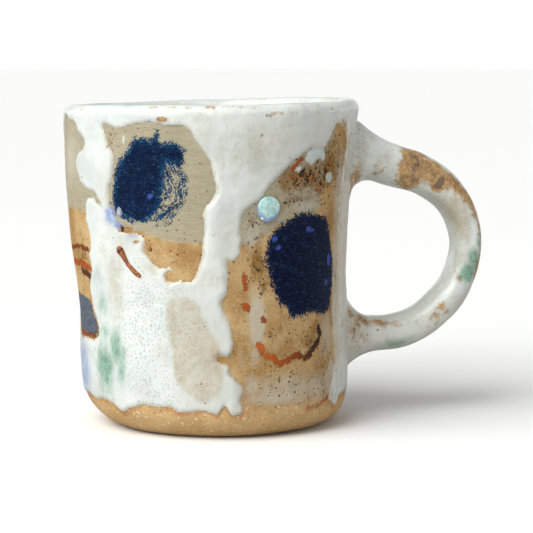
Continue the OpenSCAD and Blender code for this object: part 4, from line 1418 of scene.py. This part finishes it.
DROP_TURN, DROP_LEVEL = -76.9, 64.4
drop, unit = new_sphere("glaze_drop_turquoise", 64, 32)
round_at = np.arctan2(unit[:, 1], unit[:, 0])
uneven = 1 + 0.035 * np.sin(3 * round_at + 1.0) + 0.03 * np.sin(2 * round_at)
drop_x, drop_y = unit[:, 0] * uneven * 3.35, unit[:, 1] * uneven * 3.55
drop_proud = np.where(unit[:, 2] > 0, GLAZE + 0.05 + 0.8 * np.maximum(unit[:, 2], 0) ** 0.8, -0.25)
drop_points = on_wall(DROP_TURN + drop_x / DEGREE, DROP_LEVEL + drop_y, drop_proud)
set_points(drop.data, drop_points)
add_values(drop, "rim", np.hypot(unit[:, 0], unit[:, 1]))
add_values(drop, "low", -unit[:, 1])

TRAIL = [(-140.3, 53.6), (-138, 51.6), (-135.4, 48.8), (-132, 46.6), (-129.6, 45.4)]
trail, unit = new_sphere("slip_trail_rust", 20, 60)
share = (unit[:, 2] + 1) / 2
stops = np.linspace(0, 1, len(TRAIL))
wide = np.interp(share, [0, 0.04, 0.12, 0.3, 0.45, 0.8, 0.95, 1], [0, 0.8, 1.15, 0.85, 0.62, 0.72, 0.6, 0])
across = np.sqrt(np.maximum(1 - unit[:, 2] ** 2, 1e-9))
trail_theta = np.interp(share, stops, [a for a, _ in TRAIL])
trail_height = np.interp(share, stops, [h for _, h in TRAIL])
run_x, run_y = 10.7 * DEGREE, -8.2
run = math.hypot(run_x, run_y)
off = unit[:, 0] / across * wide
rough = np.array([noise.noise(Vector((s * 14, o, 2.0))) for s, o in zip(share, off)]) * 0.16
trail_proud = GLAZE + 0.25 + (unit[:, 1] / across * wide) * 0.8 * np.where(unit[:, 1] > 0, 1, 0.9) + rough
trail_theta -= off * run_y / run / DEGREE
trail_height += off * run_x / run
trail_points = on_wall(trail_theta, trail_height, trail_proud)
set_points(trail.data, trail_points)
add_values(trail, "share", share)

# %% [markdown]
# The drop is glassy turquoise with a lilac lower rim, where it pooled. The trail is dry rust slip
# with one darker band near its top, where the nozzle rested.

# %% Materials: the drop and the trail
drop_mat, t, shader = new_material("turquoise_glaze_drop", seen(178, 220, 216), 0.12, Coat_Weight=0.5)
blot = t.grain(1.6, 4.0, 0.6, 111.0, twist=1.0)
tone = t.mix(t.step(blot, 0.38, 0.62), seen(156, 208, 206), seen(206, 236, 232))
rim_low = t.add(t.field("rim"), t.times(t.field("low"), 0.35))
lilac = t.step(t.add(rim_low, t.wobble(0.6, 1.2, 3, 0.6, 113.0)), 0.72, 1.05)
tone = t.lay(tone, lilac, 0.8, seen(128, 150, 212))
tone = t.mix(t.dots(1.6, 0.3, 0.5, 115.0), tone, seen(238, 246, 246))
dress(t, shader, tone, t.add(0.1, t.times(blot, 0.16)), t.grain(1.4, 2.0, 0.5, 117.0), 0.18)
finish_piece(drop, drop_mat)

trail_mat, t, shader = new_material("rust_slip_trail", seen(150, 84, 44), 0.5, Specular_IOR_Level=0.4)
crumb = t.grain(0.8, 4.0, 0.65, 121.0)
tone = t.mix(t.step(crumb, 0.4, 0.64), seen(134, 70, 36), seen(176, 106, 62))
band = t.step(t.math("ABSOLUTE", t.less(t.field("share"), 0.16)), 0.06, 0.02)
tone = t.lay(tone, band, 0.8, seen(58, 40, 32))
dress(t, shader, tone, t.add(0.35, t.times(crumb, 0.3)), crumb, 0.22)
finish_piece(trail, trail_mat)

# %% [markdown]
# Each piece rides on the mug's one body, the CAD solids it stands for are hidden, and its finish and those
# solids are printed.

# %% Pieces in the frame
for piece, slot, nodes in (
    (clay_wall, "stoneware_clay", ["wall_slab", "floor_slip", "floor_seam_coil"]),
    (clay_floor, "stoneware_clay", ["floor_slab"]),
    (outer_glaze, "white_glaze", ["outer_glaze"]),
    (liner, "liner_glaze", ["liner_glaze"]),
    (handle_glaze, "white_glaze", ["handle_glaze"]),
    (strap_clay, "stoneware_clay", ["handle_strap"]),
    (upper_root, "stoneware_clay", ["upper_root_coil", "upper_slip"]),
    (lower_root, "stoneware_clay", ["lower_root_coil", "lower_slip"]),
    (drop, "turquoise_glaze", ["glaze_drop"]),
    (trail, "iron_slip", ["slip_trail"]),
):
    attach(piece, "root")
    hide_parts(*nodes)
    print(piece.name, "is", slot, "and stands for", ", ".join(nodes))

# %% [markdown]
# The mug stands on a plain pale floor. A round window light and broad soft daylight both come from
# the upper left and the front, and the pale sky is brightest at the horizon.

# %% Floor, sky and lights
deselect_all()
bpy.ops.mesh.primitive_circle_add(vertices=96, radius=6.0, fill_type="NGON", location=(0, 0, -0.0002))
floor = bpy.context.object
floor.name = floor.data.name = "pale_floor"
bpy.ops.object.transform_apply(location=True, rotation=True, scale=True)
floor_mat, t, shader = new_material("pale_floor_board", seen(244, 244, 244), 0.9, Specular_IOR_Level=0.1)
board = t.mix(t.grain(400.0, 2.0), (0.97, 0.97, 0.97), (0.99, 0.99, 0.99))
looked_at = t.node("ShaderNodeLightPath").outputs["Is Camera Ray"]
t.put(shader.inputs["Base Color"], t.mix(looked_at, (0.52, 0.50, 0.48), board))
floor.data.materials.append(floor_mat)

sky = bpy.data.worlds.new("studio_sky")
sky.use_nodes = True
bpy.context.scene.world = sky
t = Tree(sky.node_tree)
back = next(n for n in t.tree.nodes if n.type == "BACKGROUND")
split = t.node("ShaderNodeSeparateXYZ")
t.put(split.inputs[0], t.node("ShaderNodeTexCoord").outputs["Generated"])
horizon = t.step(t.math("ABSOLUTE", split.outputs["Z"]), 0.30, 0.16)
t.put(back.inputs["Color"], t.mix(horizon, (0.33, 0.325, 0.32), (1.0, 1.0, 1.0)))
back.inputs["Strength"].default_value = 1.0
print("floor and sky:", floor.name, sky.name)

# %% [markdown]
# Two lights are enough. A small round one gives the glaze its highlights, and a broad sun gives the
# soft shadow on the right.

# %% Lights
def add_light(name, kind, place, aim, energy, colour, **settings):
    """A light of a kind at a place, turned to look at an aim."""
    data = bpy.data.lights.new(name, kind)
    data.energy = energy
    data.color = colour
    for key, value in settings.items():
        setattr(data, key, value)
    obj = bpy.data.objects.new(name, data)
    bpy.context.scene.collection.objects.link(obj)
    obj.location = place
    obj.rotation_euler = (Vector(place) - Vector(aim)).to_track_quat("Z", "Y").to_euler()


add_light(
    "window_light", "AREA", (-0.7, -0.6, 0.65), (0, 0, 0.05), 1.6, (0.97, 1.0, 0.99),
    shape="DISK", size=0.35)
add_light(
    "daylight", "SUN", (-0.85, -0.5, 0.95), (0, 0, 0), 2.9, (0.98, 1.0, 0.985),
    angle=math.radians(60))

# %% [markdown]
# The camera stands a little left of square to the handle and slightly above, with a long lens.

# %% Camera
CAMERA_TURN, CAMERA_REACH, CAMERA_HEIGHT = math.radians(-10.0), 0.650, 0.113
PAN, PITCH = math.radians(1.37), math.radians(6.0)
camera_data = bpy.data.cameras.new("camera")
camera_data.lens = 151.4
camera_data.sensor_width = 36.0
camera_data.dof.use_dof = False
camera = bpy.data.objects.new("camera", camera_data)
bpy.context.scene.collection.objects.link(camera)
camera.location = (CAMERA_REACH * math.sin(CAMERA_TURN), -CAMERA_REACH * math.cos(CAMERA_TURN), CAMERA_HEIGHT)
camera.rotation_euler = (math.pi / 2 - PITCH, 0, CAMERA_TURN - PAN)
bpy.context.scene.camera = camera
bpy.context.scene.view_settings.view_transform = "Standard"
print(f"camera lens {camera_data.lens:.0f} mm, {camera.location.length:.2f} m from the mug's foot")
